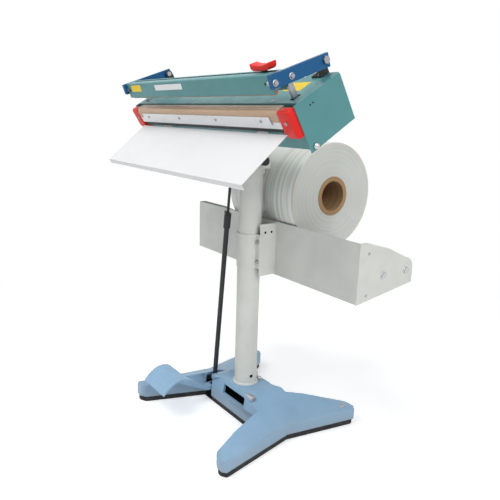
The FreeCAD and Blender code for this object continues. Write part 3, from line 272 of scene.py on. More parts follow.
@dataclass(frozen=True)
class Paint:
    """Sprayed enamel with orange peel, faint blotches, a tint that darkens it towards the floor and worn
    edges.
    """

    colour: Colour
    rough: float = 0.38
    peel: float = 0.25
    wear: float = 0.0
    floor_darkening_height: float = 0.0
    marks: float = 1.0
    bare: Colour = (0.34, 0.34, 0.35)
    bottom_tint: Colour = (0.30, 0.29, 0.27)
    blotch_scale: float = 14.0
    scuff_scale: float = 160.0
    chip_scale: float = 120.0
    gloss_scale: float = 45.0
    peel_scale: float = 700.0
    edge_reach: float = 0.0018
    shade_level: float = 0.84
    scuff_gain: float = 1.25
    scuff_lift: float = 0.03
    coat: float = 0.05

    def make(self, name: str) -> bpy.types.Material:
        """Build the material.

        Args:
            name: name of the material.

        Returns:
            The material.
        """
        graph = Graph(name)
        shade = tuple(level * self.shade_level for level in self.colour)
        pale = tuple(min(1.0, level * self.scuff_gain + self.scuff_lift) for level in self.colour)
        blotch = graph.mapped(graph.noise(self.blotch_scale, 5.0), 0.38, 0.72, 0.0, 0.7 * self.marks)
        paint = graph.blend(blotch, self.colour, shade)
        scuff = graph.mapped(graph.noise(self.scuff_scale, 6.0), 0.66, 0.78, 0.0, 0.35 * self.marks)
        paint = graph.blend(scuff, shade, pale, paint)
        # Darker towards the floor: up to half a grey-brown tint at floor level, fading out at the given
        # height.
        if self.floor_darkening_height > 0.0:
            low = graph.mapped(graph.height(), 0.0, self.floor_darkening_height, 0.5, 0.0)
            paint = graph.blend(low, shade, self.bottom_tint, paint)
        if self.wear > 0.0:
            broken = graph.mapped(graph.noise(self.chip_scale, 4.0), 0.48, 0.60, 0.0, self.wear)
            worn = graph.tree.nodes.new("ShaderNodeMath")
            worn.operation = "MULTIPLY"
            graph.link(graph.edges(self.edge_reach), worn.inputs[0])
            graph.link(broken, worn.inputs[1])
            paint = graph.blend(worn.outputs[0], shade, self.bare, paint)
        graph.colour(paint)
        gloss = graph.noise(self.gloss_scale, 4.0)
        graph.roughness(graph.mapped(gloss, 0.3, 0.7, self.rough - 0.07, self.rough + 0.1))
        graph.bump(graph.noise(self.peel_scale, 2.0), self.peel, FINE_GRAIN)
        graph.set(coat_weight=self.coat, coat_roughness=0.25)
        graph.shader.inputs["Specular IOR Level"].default_value = SHEEN
        return graph.material


@dataclass(frozen=True)
class Metal:
    """Bare metal with drawn or turned lines and a little tarnish."""

    colour: Colour
    rough: float = 0.28
    lines: Point = (6.0, 900.0, 900.0)
    tarnish: Colour = (0.30, 0.28, 0.26)
    tarnish_scale: float = 90.0
    line_depth: float = 0.0001

    def make(self, name: str) -> bpy.types.Material:
        """Build the material.

        Args:
            name: name of the material.

        Returns:
            The material.
        """
        graph = Graph(name)
        grain = graph.noise(1.0, 3.0, graph.stretched(self.lines))
        spots = graph.mapped(graph.noise(self.tarnish_scale, 5.0), 0.55, 0.8, 0.0, 0.45)
        graph.colour(graph.blend(spots, self.colour, self.tarnish))
        graph.roughness(graph.mapped(grain, 0.25, 0.75, self.rough - 0.08, self.rough + 0.12))
        graph.bump(grain, 0.12, self.line_depth)
        graph.set(metallic=1.0)
        return graph.material


@dataclass(frozen=True)
class Moulding:
    """Moulded plastic or rubber with a fine texture, hairline scratches and a dusty bloom."""

    colour: Colour
    rough: float = 0.35
    texture: float = 0.2
    bloom: Colour = (0.4, 0.4, 0.4)
    bloom_share: float = 0.08
    coat: float = 0.0
    bloom_scale: float = 60.0
    hair_stretch: Point = (25.0, 800.0, 260.0)
    gloss_scale: float = 35.0
    texture_scale: float = 1100.0

    def make(self, name: str) -> bpy.types.Material:
        """Build the material.

        Args:
            name: name of the material.

        Returns:
            The material.
        """
        graph = Graph(name)
        dusty = graph.mapped(graph.noise(self.bloom_scale, 6.0), 0.45, 0.8, 0.0, self.bloom_share)
        hairs = graph.noise(1.0, 4.0, graph.stretched(self.hair_stretch))
        scratch = graph.mapped(hairs, 0.68, 0.74, 0.0, 0.25)
        base = graph.blend(dusty, self.colour, self.bloom)
        graph.colour(graph.blend(scratch, self.colour, self.bloom, base))
        gloss = graph.noise(self.gloss_scale, 4.0)
        graph.roughness(graph.mapped(gloss, 0.3, 0.7, self.rough - 0.06, self.rough + 0.14))
        graph.bump(graph.noise(self.texture_scale, 2.0), self.texture, FINE_GRAIN)
        graph.set(coat_weight=self.coat, coat_roughness=0.12)
        graph.shader.inputs["Specular IOR Level"].default_value = SHEEN
        return graph.material


@dataclass(frozen=True)
class Weave:
    """Glass cloth soaked in slip resin, with fine threads and scorched streaks."""

    colour: Colour
    scorch: Colour
    streak_stretch: Point = (4.0, 60.0, 60.0)
    thread_scale: float = 260.0

    def make(self, name: str) -> bpy.types.Material:
        """Build the material.

        Args:
            name: name of the material.

        Returns:
            The material.
        """
        graph = Graph(name)
        along = graph.noise(1.0, 4.0, graph.stretched(self.streak_stretch))
        streak = graph.mapped(along, 0.4, 0.75, 0.0, 0.7)
        graph.colour(graph.blend(streak, self.colour, self.scorch))
        wave = graph.tree.nodes.new("ShaderNodeTexWave")
        wave.inputs["Scale"].default_value = self.thread_scale
        graph.link(graph.coords, wave.inputs["Vector"])
        graph.bump(wave.outputs["Fac"], 0.25, FINE_GRAIN)
        graph.roughness(graph.mapped(streak, 0.0, 1.0, 0.24, 0.38))
        return graph.material


@dataclass(frozen=True)
class Wound:
    """Material wound about the roll's axis, with rings on its ends and bands on its outside."""

    pale: Colour
    dark: Colour
    rough: float
    rings: float
    sheen: float = 0.0
    glow: float = 0.0
    glow_depth: float = 0.02
    ring_depth: float = 0.0008
    streak_stretch: Point = (120.0, 2.0, 2.0)

    def make(self, name: str) -> bpy.types.Material:
        """Build the material.

        Args:
            name: name of the material.

        Returns:
            The material.
        """
        graph = Graph(name)
        offset = graph.tree.nodes.new("ShaderNodeVectorMath")
        offset.operation = "SUBTRACT"
        offset.inputs[1].default_value = ROLL_CENTRE
        graph.link(graph.coords, offset.inputs[0])
        flat = graph.tree.nodes.new("ShaderNodeVectorMath")
        flat.operation = "MULTIPLY"
        flat.inputs[1].default_value = (0.0, 1.0, 1.0)
        graph.link(offset.outputs["Vector"], flat.inputs[0])
        reach = graph.tree.nodes.new("ShaderNodeVectorMath")
        reach.operation = "LENGTH"
        graph.link(flat.outputs["Vector"], reach.inputs[0])
        band = graph.tree.nodes.new("ShaderNodeTexNoise")
        band.noise_dimensions = "1D"
        band.inputs["Scale"].default_value = self.rings
        band.inputs["Detail"].default_value = 5.0
        graph.link(reach.outputs["Value"], band.inputs["W"])
        ring = graph.mapped(band.outputs["Fac"], 0.36, 0.68, 0.0, 0.5)
        along = graph.noise(1.0, 3.0, graph.stretched(self.streak_stretch))
        streak = graph.mapped(along, 0.40, 0.66, 0.0, 0.9)
        base = graph.blend(ring, self.pale, self.dark)
        graph.colour(graph.blend(streak, self.pale, self.dark, base))
        graph.roughness(graph.mapped(along, 0.3, 0.7, self.rough - 0.06, self.rough + 0.12))
        graph.bump(band.outputs["Fac"], 0.15, self.ring_depth)
        graph.set(coat_weight=self.sheen, coat_roughness=0.2)
        graph.shader.inputs["Subsurface Weight"].default_value = self.glow
        graph.shader.inputs["Subsurface Scale"].default_value = self.glow_depth
        return graph.material


FINISHES = {
    Slot.TEAL: Paint((0.082, 0.245, 0.255), 0.36, 0.3, wear=0.5),
    Slot.BLUE: Paint((0.002, 0.085, 0.225), 0.34, 0.25, wear=0.5),
    Slot.RED: Moulding((0.64, 0.010, 0.006), 0.36, 0.15, (0.55, 0.10, 0.09), 0.05, 0.05),
    Slot.WHITE: Paint((0.69, 0.695, 0.70), 0.42, 0.03, marks=0.2),
    Slot.OFFWHITE: Paint((0.60, 0.61, 0.57), 0.38, 0.25, wear=0.25),
    Slot.BASE: Paint((0.25, 0.405, 0.57), 0.42, 0.45, wear=0.7, floor_darkening_height=0.06),
    Slot.RUBBER: Moulding((0.016, 0.016, 0.017), 0.62, 0.5, (0.12, 0.115, 0.11), 0.18),
    Slot.BLACK_METAL: Paint((0.022, 0.023, 0.026), 0.4, 0.3, wear=0.6),
    Slot.STEEL: Metal((0.38, 0.39, 0.41), 0.30),
    Slot.CHROME: Metal((0.56, 0.57, 0.59), 0.16, (400.0, 400.0, 400.0), (0.5, 0.5, 0.5)),
    Slot.ALUMINIUM: Metal((0.68, 0.69, 0.71), 0.34, (4.0, 1200.0, 1200.0), (0.5, 0.5, 0.5)),
    Slot.CLOTH: Weave((0.46, 0.31, 0.20), (0.34, 0.22, 0.13)),
    Slot.SILICONE: Moulding((0.36, 0.20, 0.13), 0.55, 0.35, (0.6, 0.4, 0.35), 0.2),
    Slot.FILM: Wound((0.70, 0.71, 0.68), (0.38, 0.40, 0.36), 0.26, 420.0, 0.4, 0.25),
    Slot.CARD: Wound((0.40, 0.25, 0.125), (0.27, 0.16, 0.075), 0.75, 900.0),
    Slot.BLACK_PLASTIC: Moulding((0.02, 0.02, 0.021), 0.42, 0.4, (0.2, 0.2, 0.2), 0.2),
    Slot.COIL: Moulding((0.22, 0.13, 0.06), 0.5),
    Slot.BOARD: Moulding((0.03, 0.19, 0.08), 0.4),
}
BLACKENED = ("rod_sleeve", "rod_wing_nut")
TRIM_FINISHES = {
    Trim.YELLOW: Moulding((0.78, 0.56, 0.02), 0.45, 0.1, (0.5, 0.4, 0.1), 0.15),
    Trim.PALE: Moulding((0.70, 0.72, 0.72), 0.4, 0.1, (0.5, 0.5, 0.5), 0.15),
    # Near-black matte finish laid on discs in holes: painted shade of the holes.
    Trim.HOLE_SHADE: Moulding((0.006, 0.006, 0.007), 0.8, 0.1, (0.05, 0.05, 0.05), 0.1),
}
ROUNDED_NODES = {
    "pedal_lever": 1.2, "seal_bar": 0.8, "jaw_beam": 1.2, "housing_tray": 0.8, "top_cover": 0.5,
    "cheek_left": 0.7, "cheek_right": 0.7, "work_table": 0.5, "trough_sheet": 0.5, "trough_bracket": 0.6,
    "clamp_shell": 0.6, "head_gussets": 0.8, "head_socket": 0.8, "head_flange": 0.8,
    "head_clamp_knob": 1.5, "rod_sleeve": 1.2, "rod_wing_nut": 0.8, "timer_dial": 1.0,
    "cloth_strip": 0.5, "film_core": 0.8, "roller_front": 1.0, "roller_rear": 1.0, "power_rocker": 0.6,
}


@dataclass
class Palette:
    """Materials of the scene, one for each slot and a few for small fittings."""

    materials: Dict[Slot, bpy.types.Material] = field(default_factory=dict)
    trims: Dict[Trim, bpy.types.Material] = field(default_factory=dict)

    def build(self) -> "Palette":
        """Make every material.

        Returns:
            This palette.
        """
        for slot, finish in FINISHES.items():
            self.materials[slot] = finish.make("finish_" + slot.value)
        for trim, finish in TRIM_FINISHES.items():
            self.trims[trim] = finish.make("finish_" + trim.value)
        return self

    def dress(self, subparts: Sequence[Dict[str, str]]) -> None:
        """Put the materials on the CAD nodes.

        Args:
            subparts: node and slot pairs of the record.
        """
        for part in subparts:
            node = frame["nodes"][part["node"]]
            slot = Slot.BLACK_METAL if part["node"] in BLACKENED else Slot(part["material_slot"])
            for place in node.material_slots:
                place.material = self.materials[slot]


class Draft:
    """A mesh in the making, in millimetres in a frame of its own, that ends as one piece of the scene."""

    def __init__(self, place: Matrix = WORLD) -> None:
        """Start an empty mesh.

        Args:
            place: frame that its points are given in.
        """
        self.mesh = bmesh.new()
        self.place = place

    @staticmethod
    def _spot(axis: Axis, along: float, first: float, second: float = 0.0) -> Vector:
        """A point from its distance along an axis and on the two axes after it.

        Args:
            axis: direction that is named first.
            along: distance along it.
            first: distance on the next axis.
            second: distance on the axis after that.

        Returns:
            The point.
        """
        spot = Vector((0.0, 0.0, 0.0))
        for step, distance in enumerate((along, first, second)):
            spot[(axis.value + step) % 3] = distance
        return spot

    def _join(self, shape: bmesh.types.BMesh, width: float = 0.0, segments: int = 2) -> "Draft":
        """Round the sharp edges of a shape and add it to the draft.

        Args:
            shape: finished shape, freed here.
            width: width of the rounding in millimetres, or 0 for none.
            segments: steps of the rounding.

        Returns:
            This draft.
        """
        if width > 0.0:
            shape.normal_update()
            sharp = [e for e in shape.edges if e.is_manifold and e.calc_face_angle(0.0) > SHARP_EDGE]
            bmesh.ops.bevel(shape, geom=sharp, offset=width, segments=segments, profile=0.5,
                            affect="EDGES", material=-1, clamp_overlap=True)
        data = bpy.data.meshes.new("shape")
        shape.to_mesh(data)
        shape.free()
        self.mesh.from_mesh(data)
        bpy.data.meshes.remove(data)
        return self

    def _spun(self, centre: Point, axis: Axis, profile: Profile, sides: int, closed: bool) -> "Draft":
        """Spin a profile once round an axis.

        Args:
            centre: point on the axis that distances are counted from.
            axis: direction of the axis.
            profile: pairs of distance and radius.
            sides: number of sides.
            closed: whether the profile's last point joins its first.

        Returns:
            This draft.
        """
        shape = bmesh.new()
        line = [shape.verts.new(Vector(centre) + self._spot(axis, *point)) for point in profile]
        after = line[1:] + line[:1] if closed else line[1:]
        edges = [shape.edges.new(pair) for pair in zip(line, after)]
        bmesh.ops.spin(shape, geom=line + edges, cent=centre, axis=self._spot(axis, 1.0, 0.0),
                       dvec=(0.0, 0.0, 0.0), angle=2.0 * math.pi, steps=sides, use_merge=True)
        bmesh.ops.remove_doubles(shape, verts=shape.verts, dist=MERGE)
        return self._join(shape)

    def block(self, low: Point, high: Point, bevel: float = 0.5, segments: int = 2) -> "Draft":
        """Add a box.

        Args:
            low: low corner.
            high: high corner.
            bevel: rounding of its edges.
            segments: steps of the rounding.

        Returns:
            This draft.
        """
        middle = (Vector(low) + Vector(high)) / 2.0
        span = Vector(high) - Vector(low)
        shape = bmesh.new()
        matrix = Matrix.Translation(middle) @ Matrix.Diagonal((*span, 1.0))
        bmesh.ops.create_cube(shape, size=1.0, matrix=matrix)
        return self._join(shape, bevel, segments)

    def turned(self, centre: Point, axis: Axis, profile: Profile, sides: int = 32) -> "Draft":
        """Add a round piece from steps of distance along its axis and radius.

        Args:
            centre: point that distances are counted from.
            axis: direction of the axis.
            profile: pairs of distance and radius; the ends are closed.
            sides: number of sides.

        Returns:
            This draft.
        """
        line = [(profile[0][0], 0.0), *profile, (profile[-1][0], 0.0)]
        return self._spun(centre, axis, line, sides, False)

    def hollow(self, centre: Point, axis: Axis, profile: Profile, sides: int = 96) -> "Draft":
        """Add a ring-shaped piece from a closed profile of distance and radius.

        Args:
            centre: point that distances are counted from.
            axis: direction of the axis.
            profile: closed loop of pairs of distance and radius.
            sides: number of sides.

        Returns:
            This draft.
        """
        return self._spun(centre, axis, profile, sides, True)

    def prism(self, outline: Profile, axis: Axis, low: float, high: float,
              bevel: float = 0.5, segments: int = 2) -> "Draft":
        """Add a straight bar with a drawn section.

        Args:
            outline: section points on the two axes after the given one.
            axis: direction of the bar.
            low: start along the axis.
            high: end along the axis.
            bevel: rounding of its edges.
            segments: steps of the rounding.

        Returns:
            This draft.
        """
        shape = bmesh.new()
        end = shape.faces.new([shape.verts.new(self._spot(axis, low, *point)) for point in outline])
        grown = bmesh.ops.extrude_face_region(shape, geom=[end], use_keep_orig=True)["geom"]
        moved = [item for item in grown if isinstance(item, bmesh.types.BMVert)]
        bmesh.ops.translate(shape, verts=moved, vec=self._spot(axis, high - low, 0.0))
        bmesh.ops.recalc_face_normals(shape, faces=shape.faces)
        return self._join(shape, bevel, segments)

    def hexagon(self, centre: Point, axis: Axis, radius: float, length: float) -> "Draft":
        """Add a hexagon head with chamfered corners and a washer under it.

        Args:
            centre: middle of its seat.
            axis: direction that it stands out along.
            radius: radius over the corners.
            length: height; negative stands the other way.

        Returns:
            This draft.
        """
        sign = 1.0 if length > 0.0 else -1.0
        washer = WASHER_THICKNESS * sign
        rim = radius * WASHER_REACH
        self.turned(centre, axis, [(0.0, rim), (washer * 0.8, rim), (washer, radius * 1.22)], 28)
        self.turned(centre, axis, [(washer, radius), (length * 0.8, radius), (length, radius * 0.84)], 6)
        return self

    def pan(self, centre: Point, axis: Axis, radius: float, length: float) -> "Draft":
        """Add a domed screw head.

        Args:
            centre: middle of its seat.
            axis: direction that it stands out along.
            radius: radius.
            length: height; negative stands the other way.

        Returns:
            This draft.
        """
        steps = [(0.0, radius), (length * 0.45, radius), (length * 0.75, radius * 0.86),
                 (length * 0.93, radius * 0.62), (length * 0.95, radius * 0.24),
                 (length * 0.6, radius * 0.2)]
        self.turned(centre, axis, steps, 24)
        return self

    def finish(self, name: str, palette: Palette, body: str, slot: Slot,
               replaces: Sequence[str] = (), trim: Optional[Trim] = None) -> bpy.types.Object:
        """Turn the draft into a piece that rides on a body.

        Args:
            name: name of the piece.
            palette: materials of the scene.
            body: CAD body that it moves with.
            slot: record slot that its finish belongs to.
            replaces: CAD nodes that it stands for.
            trim: finish that it has in place of the slot's own, or None.

        Returns:
            The new object.
        """
        scale = Matrix.Diagonal((MM, MM, MM, 1.0))
        bmesh.ops.transform(self.mesh, matrix=self.place @ scale, verts=self.mesh.verts)
        bmesh.ops.recalc_face_normals(self.mesh, faces=self.mesh.faces)
        data = bpy.data.meshes.new(name)
        self.mesh.to_mesh(data)
        self.mesh.free()
        data.shade_smooth()
        data.set_sharp_from_angle(angle=SMOOTH_EDGE)
        data.materials.append(palette.materials[slot] if trim is None else palette.trims[trim])
        piece = bpy.data.objects.new(name, data)
        bpy.context.scene.collection.objects.link(piece)
        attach(piece, body)
        if replaces:
            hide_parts(*replaces)
        LOG.info("piece %s on %s: %d faces", name, body, len(data.polygons))
        return piece


@dataclass
class Softened:
    """Small roundings on the edges of CAD nodes, without changing their own meshes."""

    widths: Dict[str, float]

    def dress(self) -> None:
        """Add the roundings."""
        for node, width in self.widths.items():
            self.soften(frame["nodes"][node], width)
            LOG.info("rounded %s by %.2f mm", node, width)

    @staticmethod
    def soften(piece: bpy.types.Object, width: float) -> None:
        """Round the sharp edges of one object with modifiers.

        Args:
            piece: object to round.
            width: width of the rounding in millimetres.
        """
        weld = piece.modifiers.new("weld", "WELD")
        weld.merge_threshold = NODE_MERGE
        bevel = piece.modifiers.new("rounding", "BEVEL")
        bevel.width = width * MM
        bevel.segments = ROUNDING_STEPS
        bevel.limit_method = "ANGLE"
        bevel.angle_limit = ROUNDED_EDGE
        bevel.use_clamp_overlap = True
        normals = piece.modifiers.new("normals", "WEIGHTED_NORMAL")
        normals.keep_sharp = False


@dataclass
class Base:
    """Casting with its mat, foot of the column and tread of the pedal, in millimetres."""

    palette: Palette
    front_reach: float = 220.0
    rear_reach: float = 203.0
    reach_margin: float = 0.5
    mat_inset: float = 2.0
    tip_round: float = 14.0
    tip_steps: int = 6
    edge_round: float = 3.0
    upright_share: float = 0.9
    tread_left: float = -160.0
    tread_right: float = -50.0
    tread_front: Pair = (-224.0, 85.0)
    tread_rear: Pair = (-148.0, 107.0)
    tread_crown: float = 16.0
    tread_metal: float = 5.0
    tread_steps: int = 60
    tread_ribs: int = 9
    rib_height: float = 1.3
    plain_lip: float = 0.08
    hub_top: float = 88.0
    hub_pin: Point = (0.0, -43.0, 85.0)
    tip_screw: Point = (203.0, 172.0, 50.4)
    foot_bolt_x: float = 16.0
    foot_bolt_y: float = 36.0
    column_hole: Point = (29.2, -3.0, 112.0)

    def build(self) -> None:
        """Add the tread, the casting and mat with round tips, bolts, weld and a near-black disc of
        painted shade at the column's hole.
        """
        self._tread()
        self._rounded("base_casting", "rounded_casting", Slot.BASE, 0.0)
        self._rounded("base_rubber_mat", "rounded_mat", Slot.RUBBER, self.mat_inset)
        bolts = Draft().turned(self.hub_pin, Axis.X, [(66.0, 5.5), (77.0, 5.5)], 24)
        bolts.turned(self.hub_pin, Axis.X, [(77.0, 7.6), (78.0, 8.6), (95.0, 8.6), (97.0, 7.0)], 28)
        bolts.pan(self.tip_screw, Axis.Z, 8.0, 4.0)
        for x in (-self.foot_bolt_x, self.foot_bolt_x):
            bolts.hexagon((x, self.foot_bolt_y, self.hub_top), Axis.Z, 6.5, 6.0)
        bolts.finish("base_bolts", self.palette, "stand", Slot.STEEL, ["hub_bolts"])
        weld = [(0.0, 34.6), (1.8, 34.2), (3.6, 32.6), (5.0, 30.4), (5.4, 29.4), (-0.2, 29.4)]
        Draft().hollow((0.0, 0.0, self.hub_top), Axis.Z, weld, 96).finish(
            "column_weld", self.palette, "stand", Slot.OFFWHITE)
        # Near-black disc at the hole in the column: painted shade of the hole.
        column_shade_disc = Draft().turned(self.column_hole, Axis.X, [(0.0, 4.6), (1.2, 4.6), (1.4, 4.0)], 24)
        column_shade_disc.finish("column_hole_shade", self.palette, "stand", Slot.BLACK_PLASTIC, trim=Trim.HOLE_SHADE)

    def _rounded(self, node: str, name: str, slot: Slot, inset: float) -> None:
        """Copy a base node with round arm tips.

        Args:
            node: CAD node to copy.
            name: name of the piece.
            slot: record slot of its finish.
            inset: how far the node's tips stand inside the casting's.
        """
        draft = Draft(Matrix.Diagonal((1.0 / MM, 1.0 / MM, 1.0 / MM, 1.0)))
        draft.mesh.from_mesh(frame["nodes"][node].data)
        bmesh.ops.remove_doubles(draft.mesh, verts=draft.mesh.verts, dist=NODE_MERGE)
        front = (self.front_reach - inset - self.reach_margin) * MM
        rear = (self.rear_reach - inset - self.reach_margin) * MM
        tips = [e for e in draft.mesh.edges if all(v.co.y < -front or v.co.y > rear for v in e.verts)]
        corners = [e for e in tips
                   if abs(e.verts[0].co.z - e.verts[1].co.z) > self.upright_share * e.calc_length()]
        bmesh.ops.bevel(draft.mesh, geom=corners, offset=self.tip_round * MM, segments=self.tip_steps,
                        profile=0.5, affect="EDGES", material=-1, clamp_overlap=True)
        piece = draft.finish(name, self.palette, "stand", slot, [node])
        Softened.soften(piece, self.edge_round)
        LOG.info("%s has %d round corners", name, len(corners))

    def _tread(self) -> None:
        """Arched, ribbed foot plate."""
        (front_y, front_z), (rear_y, rear_z) = self.tread_front, self.tread_rear
        top: List[Pair] = []
        under: List[Pair] = []
        for step in range(self.tread_steps + 1):
            share = step / self.tread_steps
            y = front_y + (rear_y - front_y) * share
            z = front_z + (rear_z - front_z) * share + self.tread_crown * 4.0 * share * (1.0 - share)
            ripple = max(0.0, math.sin(share * math.pi * 2.0 * self.tread_ribs))
            rib = ripple * self.rib_height if self.plain_lip < share < 1.0 - self.plain_lip else 0.0
            top.append((y, z + rib))
            under.append((y, z - self.tread_metal))
        outline = top + list(reversed(under))
        Draft().prism(outline, Axis.X, self.tread_left, self.tread_right, 0.0).finish(
            "ribbed_tread", self.palette, "pedal", Slot.BASE, ["pedal_tread"])


@dataclass
class Head:
    """Fittings on the housing and the seal bar, in millimetres in the tilted head's frame."""

    palette: Palette
    half: float = 330.0
    foot_x: float = 306.0
    foot_y: Pair = (-95.0, -9.0)
    strip_front: float = -141.3
    strip_screw_x: Tuple[float, ...] = (-240.0, -80.0, 80.0, 240.0)
    strip_screw_z: float = 77.0
    cheek_hole_y: Pair = (-86.0, -78.0)
    cheek_hole_z: float = 82.0
    acorn_y: float = -108.0
    acorn_z: float = 8.0
    cover_top: float = 99.0
    cover_screw_x: Tuple[float, ...] = (-250.0, 0.0, 250.0)
    cover_screw_y: Pair = (-104.0, -8.0)
    label_low: Pair = (236.0, -64.0)
    label_high: Pair = (288.0, -30.0)
    block_near: float = 295.0
    block_far: float = 327.6
    block_front: float = -139.0
    block_back: float = -118.0
    block_low: float = 37.0
    block_high: float = 97.0
    block_corner: float = 3.0
    block_slant: Pair = (6.0, 12.0)
    block_round: float = 2.2
    block_screw_x: float = 311.0
    block_screw_z: float = 72.0

    def build(self) -> None:
        """Add the dome caps, screws, cheek acorns, painted shade in the cheek holes, label place and end
        blocks.
        """
        feet = Draft(HEAD)
        profile = [(0.0, 9.0), (-2.0, 9.0), (-4.6, 8.2), (-6.8, 6.4), (-8.3, 3.8), (-9.0, 0.8)]
        for x in (-self.foot_x, self.foot_x):
            for y in self.foot_y:
                feet.turned((x, y, 0.0), Axis.Z, profile, 32)
        feet.finish("dome_caps", self.palette, "stand", Slot.CHROME, ["dome_feet"])
        screws = Draft(HEAD)
        for x in self.strip_screw_x:
            screws.pan((x, self.strip_front, self.strip_screw_z), Axis.Y, 3.6, -2.0)
        screws.finish("strip_screw_heads", self.palette, "stand", Slot.STEEL, ["strip_screws"])
        # Near-black discs in the two holes of the right cheek: painted shade of the holes.
        cheek_shade_discs = Draft(HEAD)
        for y in self.cheek_hole_y:
            spot = (self.half, y, self.cheek_hole_z)
            cheek_shade_discs.turned(spot, Axis.X, [(-0.4, 1.8), (0.2, 1.8), (0.3, 1.5)], 16)
        cheek_shade_discs.finish("cheek_hole_shades", self.palette, "stand", Slot.BLACK_PLASTIC, trim=Trim.HOLE_SHADE)
        acorn = Draft(HEAD)
        steps = [(0.0, 6.5), (3.0, 6.5), (5.4, 5.6), (7.2, 3.8), (8.0, 1.0)]
        for side in (-1.0, 1.0):
            spot = (side * self.half, self.acorn_y, self.acorn_z)
            acorn.turned(spot, Axis.X, [(side * along, radius) for along, radius in steps], 28)
        acorn.finish("cheek_acorns", self.palette, "stand", Slot.CHROME)
        cover = Draft(HEAD)
        for x in self.cover_screw_x:
            for y in self.cover_screw_y:
                cover.pan((x, y, self.cover_top), Axis.Z, 3.2, 1.6)
        cover.finish("cover_screws", self.palette, "stand", Slot.STEEL)
        low = (*self.label_low, self.cover_top)
        high = (*self.label_high, self.cover_top + LABEL_THICKNESS)
        label = Draft(HEAD).block(low, high, LABEL_ROUND, 1)
        label.finish("cover_label_place", self.palette, "stand", Slot.WHITE, trim=Trim.YELLOW)
        self._blocks()

    def _blocks(self) -> None:
        """Red moulded blocks at the ends of the seal bar, with rounded edges and a fixing screw."""
        front, back, corner = self.block_front, self.block_back, self.block_corner
        low, high = self.block_low, self.block_high
        slant_y, slant_z = self.block_slant
        outline = [(front, low + slant_z), (front, high - corner), (front + corner, high),
                   (back - corner, high), (back, high - corner), (back, low), (front + slant_y, low)]
        blocks = Draft(HEAD)
        for start, end in ((-self.block_far, -self.block_near), (self.block_near, self.block_far)):
            blocks.prism(outline, Axis.X, start, end, self.block_round, 4)
        blocks.finish("moulded_end_blocks", self.palette, "stand", Slot.RED, ["end_blocks"])
        screws = Draft(HEAD)
        for x in (-self.block_screw_x, self.block_screw_x):
            screws.pan((x, self.block_front, self.block_screw_z), Axis.Y, 3.6, -1.8)
        screws.finish("end_block_screws", self.palette, "stand", Slot.STEEL)


@dataclass
class UpperJaw:
    """Bolts and label places of the jaw and the cutter's knob, in millimetres in the jaw's frame."""

    palette: Palette
    arm_inside: float = 295.0
    arm_outside: float = 314.0
    arm_bolts: Tuple[Pair, ...] = ((-128.0, -5.0), (-88.0, -4.0))
    bolt_radius: float = 4.9
    bolt_head: float = 4.6
    shank_proud: float = 0.2
    beam_front: float = -128.0
    yellow_low: Pair = (-282.0, -10.0)
    yellow_high: Pair = (-228.0, 6.0)
    pale_low: Pair = (-150.0, -9.0)
    pale_high: Pair = (-20.0, 4.0)
    beam_hole_x: Pair = (-292.0, 284.0)
    beam_hole_z: float = -6.0
    cutter_x: float = 262.0
    knob_base: float = 15.0
    knob_half: float = 29.0
    knob_waist: float = 10.0
    knob_dip: float = 4.5
    knob_front: float = -116.0
    knob_rear: float = -96.0
    knob_round: float = 3.2
    knob_steps: int = 24

    def build(self) -> None:
        """Add bolts, label places, painted shade in the beam's holes and the wing knob."""
        heads = Draft(JAW)
        for side in (-1.0, 1.0):
            for y, z in self.arm_bolts:
                seat = (side * self.arm_outside, y, z)
                heads.hexagon(seat, Axis.X, self.bolt_radius, self.bolt_head * side)
                outer = self.arm_outside + self.shank_proud
                low, high = sorted((side * self.arm_inside, side * outer))
                heads.turned((0.0, y, z), Axis.X, [(low, self.bolt_radius), (high, self.bolt_radius)], 20)
        heads.finish("arm_bolt_heads", self.palette, "jaw", Slot.STEEL, ["arm_bolts"])
        self._label("beam_yellow_label_place", Trim.YELLOW, self.yellow_low, self.yellow_high)
        self._label("beam_pale_label_place", Trim.PALE, self.pale_low, self.pale_high)
        # Near-black discs in the holes at both ends of the beam's front: painted shade of the holes.
        hole_shade_discs = Draft(JAW)
        for x in self.beam_hole_x:
            spot = (x, self.beam_front, self.beam_hole_z)
            hole_shade_discs.turned(spot, Axis.Y, [(0.3, 2.4), (-0.2, 2.4), (-0.3, 2.1)], 18)
        hole_shade_discs.finish("beam_hole_shades", self.palette, "jaw", Slot.BLACK_PLASTIC, trim=Trim.HOLE_SHADE)
        self._knob()

    def _label(self, name: str, trim: Trim, low: Pair, high: Pair) -> None:
        """Bare label place on the front of the beam.

        Args:
            name: name of the piece.
            trim: its finish.
            low: its low corner, along and up the beam.
            high: its high corner.
        """
        near = (low[0], self.beam_front - LABEL_THICKNESS, low[1])
        far = (high[0], self.beam_front, high[1])
        label = Draft(JAW).block(near, far, LABEL_ROUND, 1)
        label.finish(name, self.palette, "jaw", Slot.WHITE, trim=trim)

    def _knob(self) -> None:
        """Red wing knob with a dipped middle and swept tips."""
        base, half = self.knob_base, self.knob_half
        top: List[Pair] = []
        for step in range(self.knob_steps + 1):
            share = step / self.knob_steps * 2.0 - 1.0
            top.append((share * half, base + self.knob_waist + self.knob_dip * share * share))
        under = [(half - 1.0, base + 5.0), (half - 6.0, base + 1.0), (half - 14.0, base),
                 (-half + 14.0, base), (-half + 6.0, base + 1.0), (-half + 1.0, base + 5.0)]
        rim = list(reversed(top)) + list(reversed(under))
        outline = [(z, self.cutter_x + x) for x, z in rim]
        Draft(JAW).prism(outline, Axis.Y, self.knob_front, self.knob_rear, self.knob_round, 4).finish(
            "wing_knob", self.palette, "cutter", Slot.RED, ["cutter_knob"])


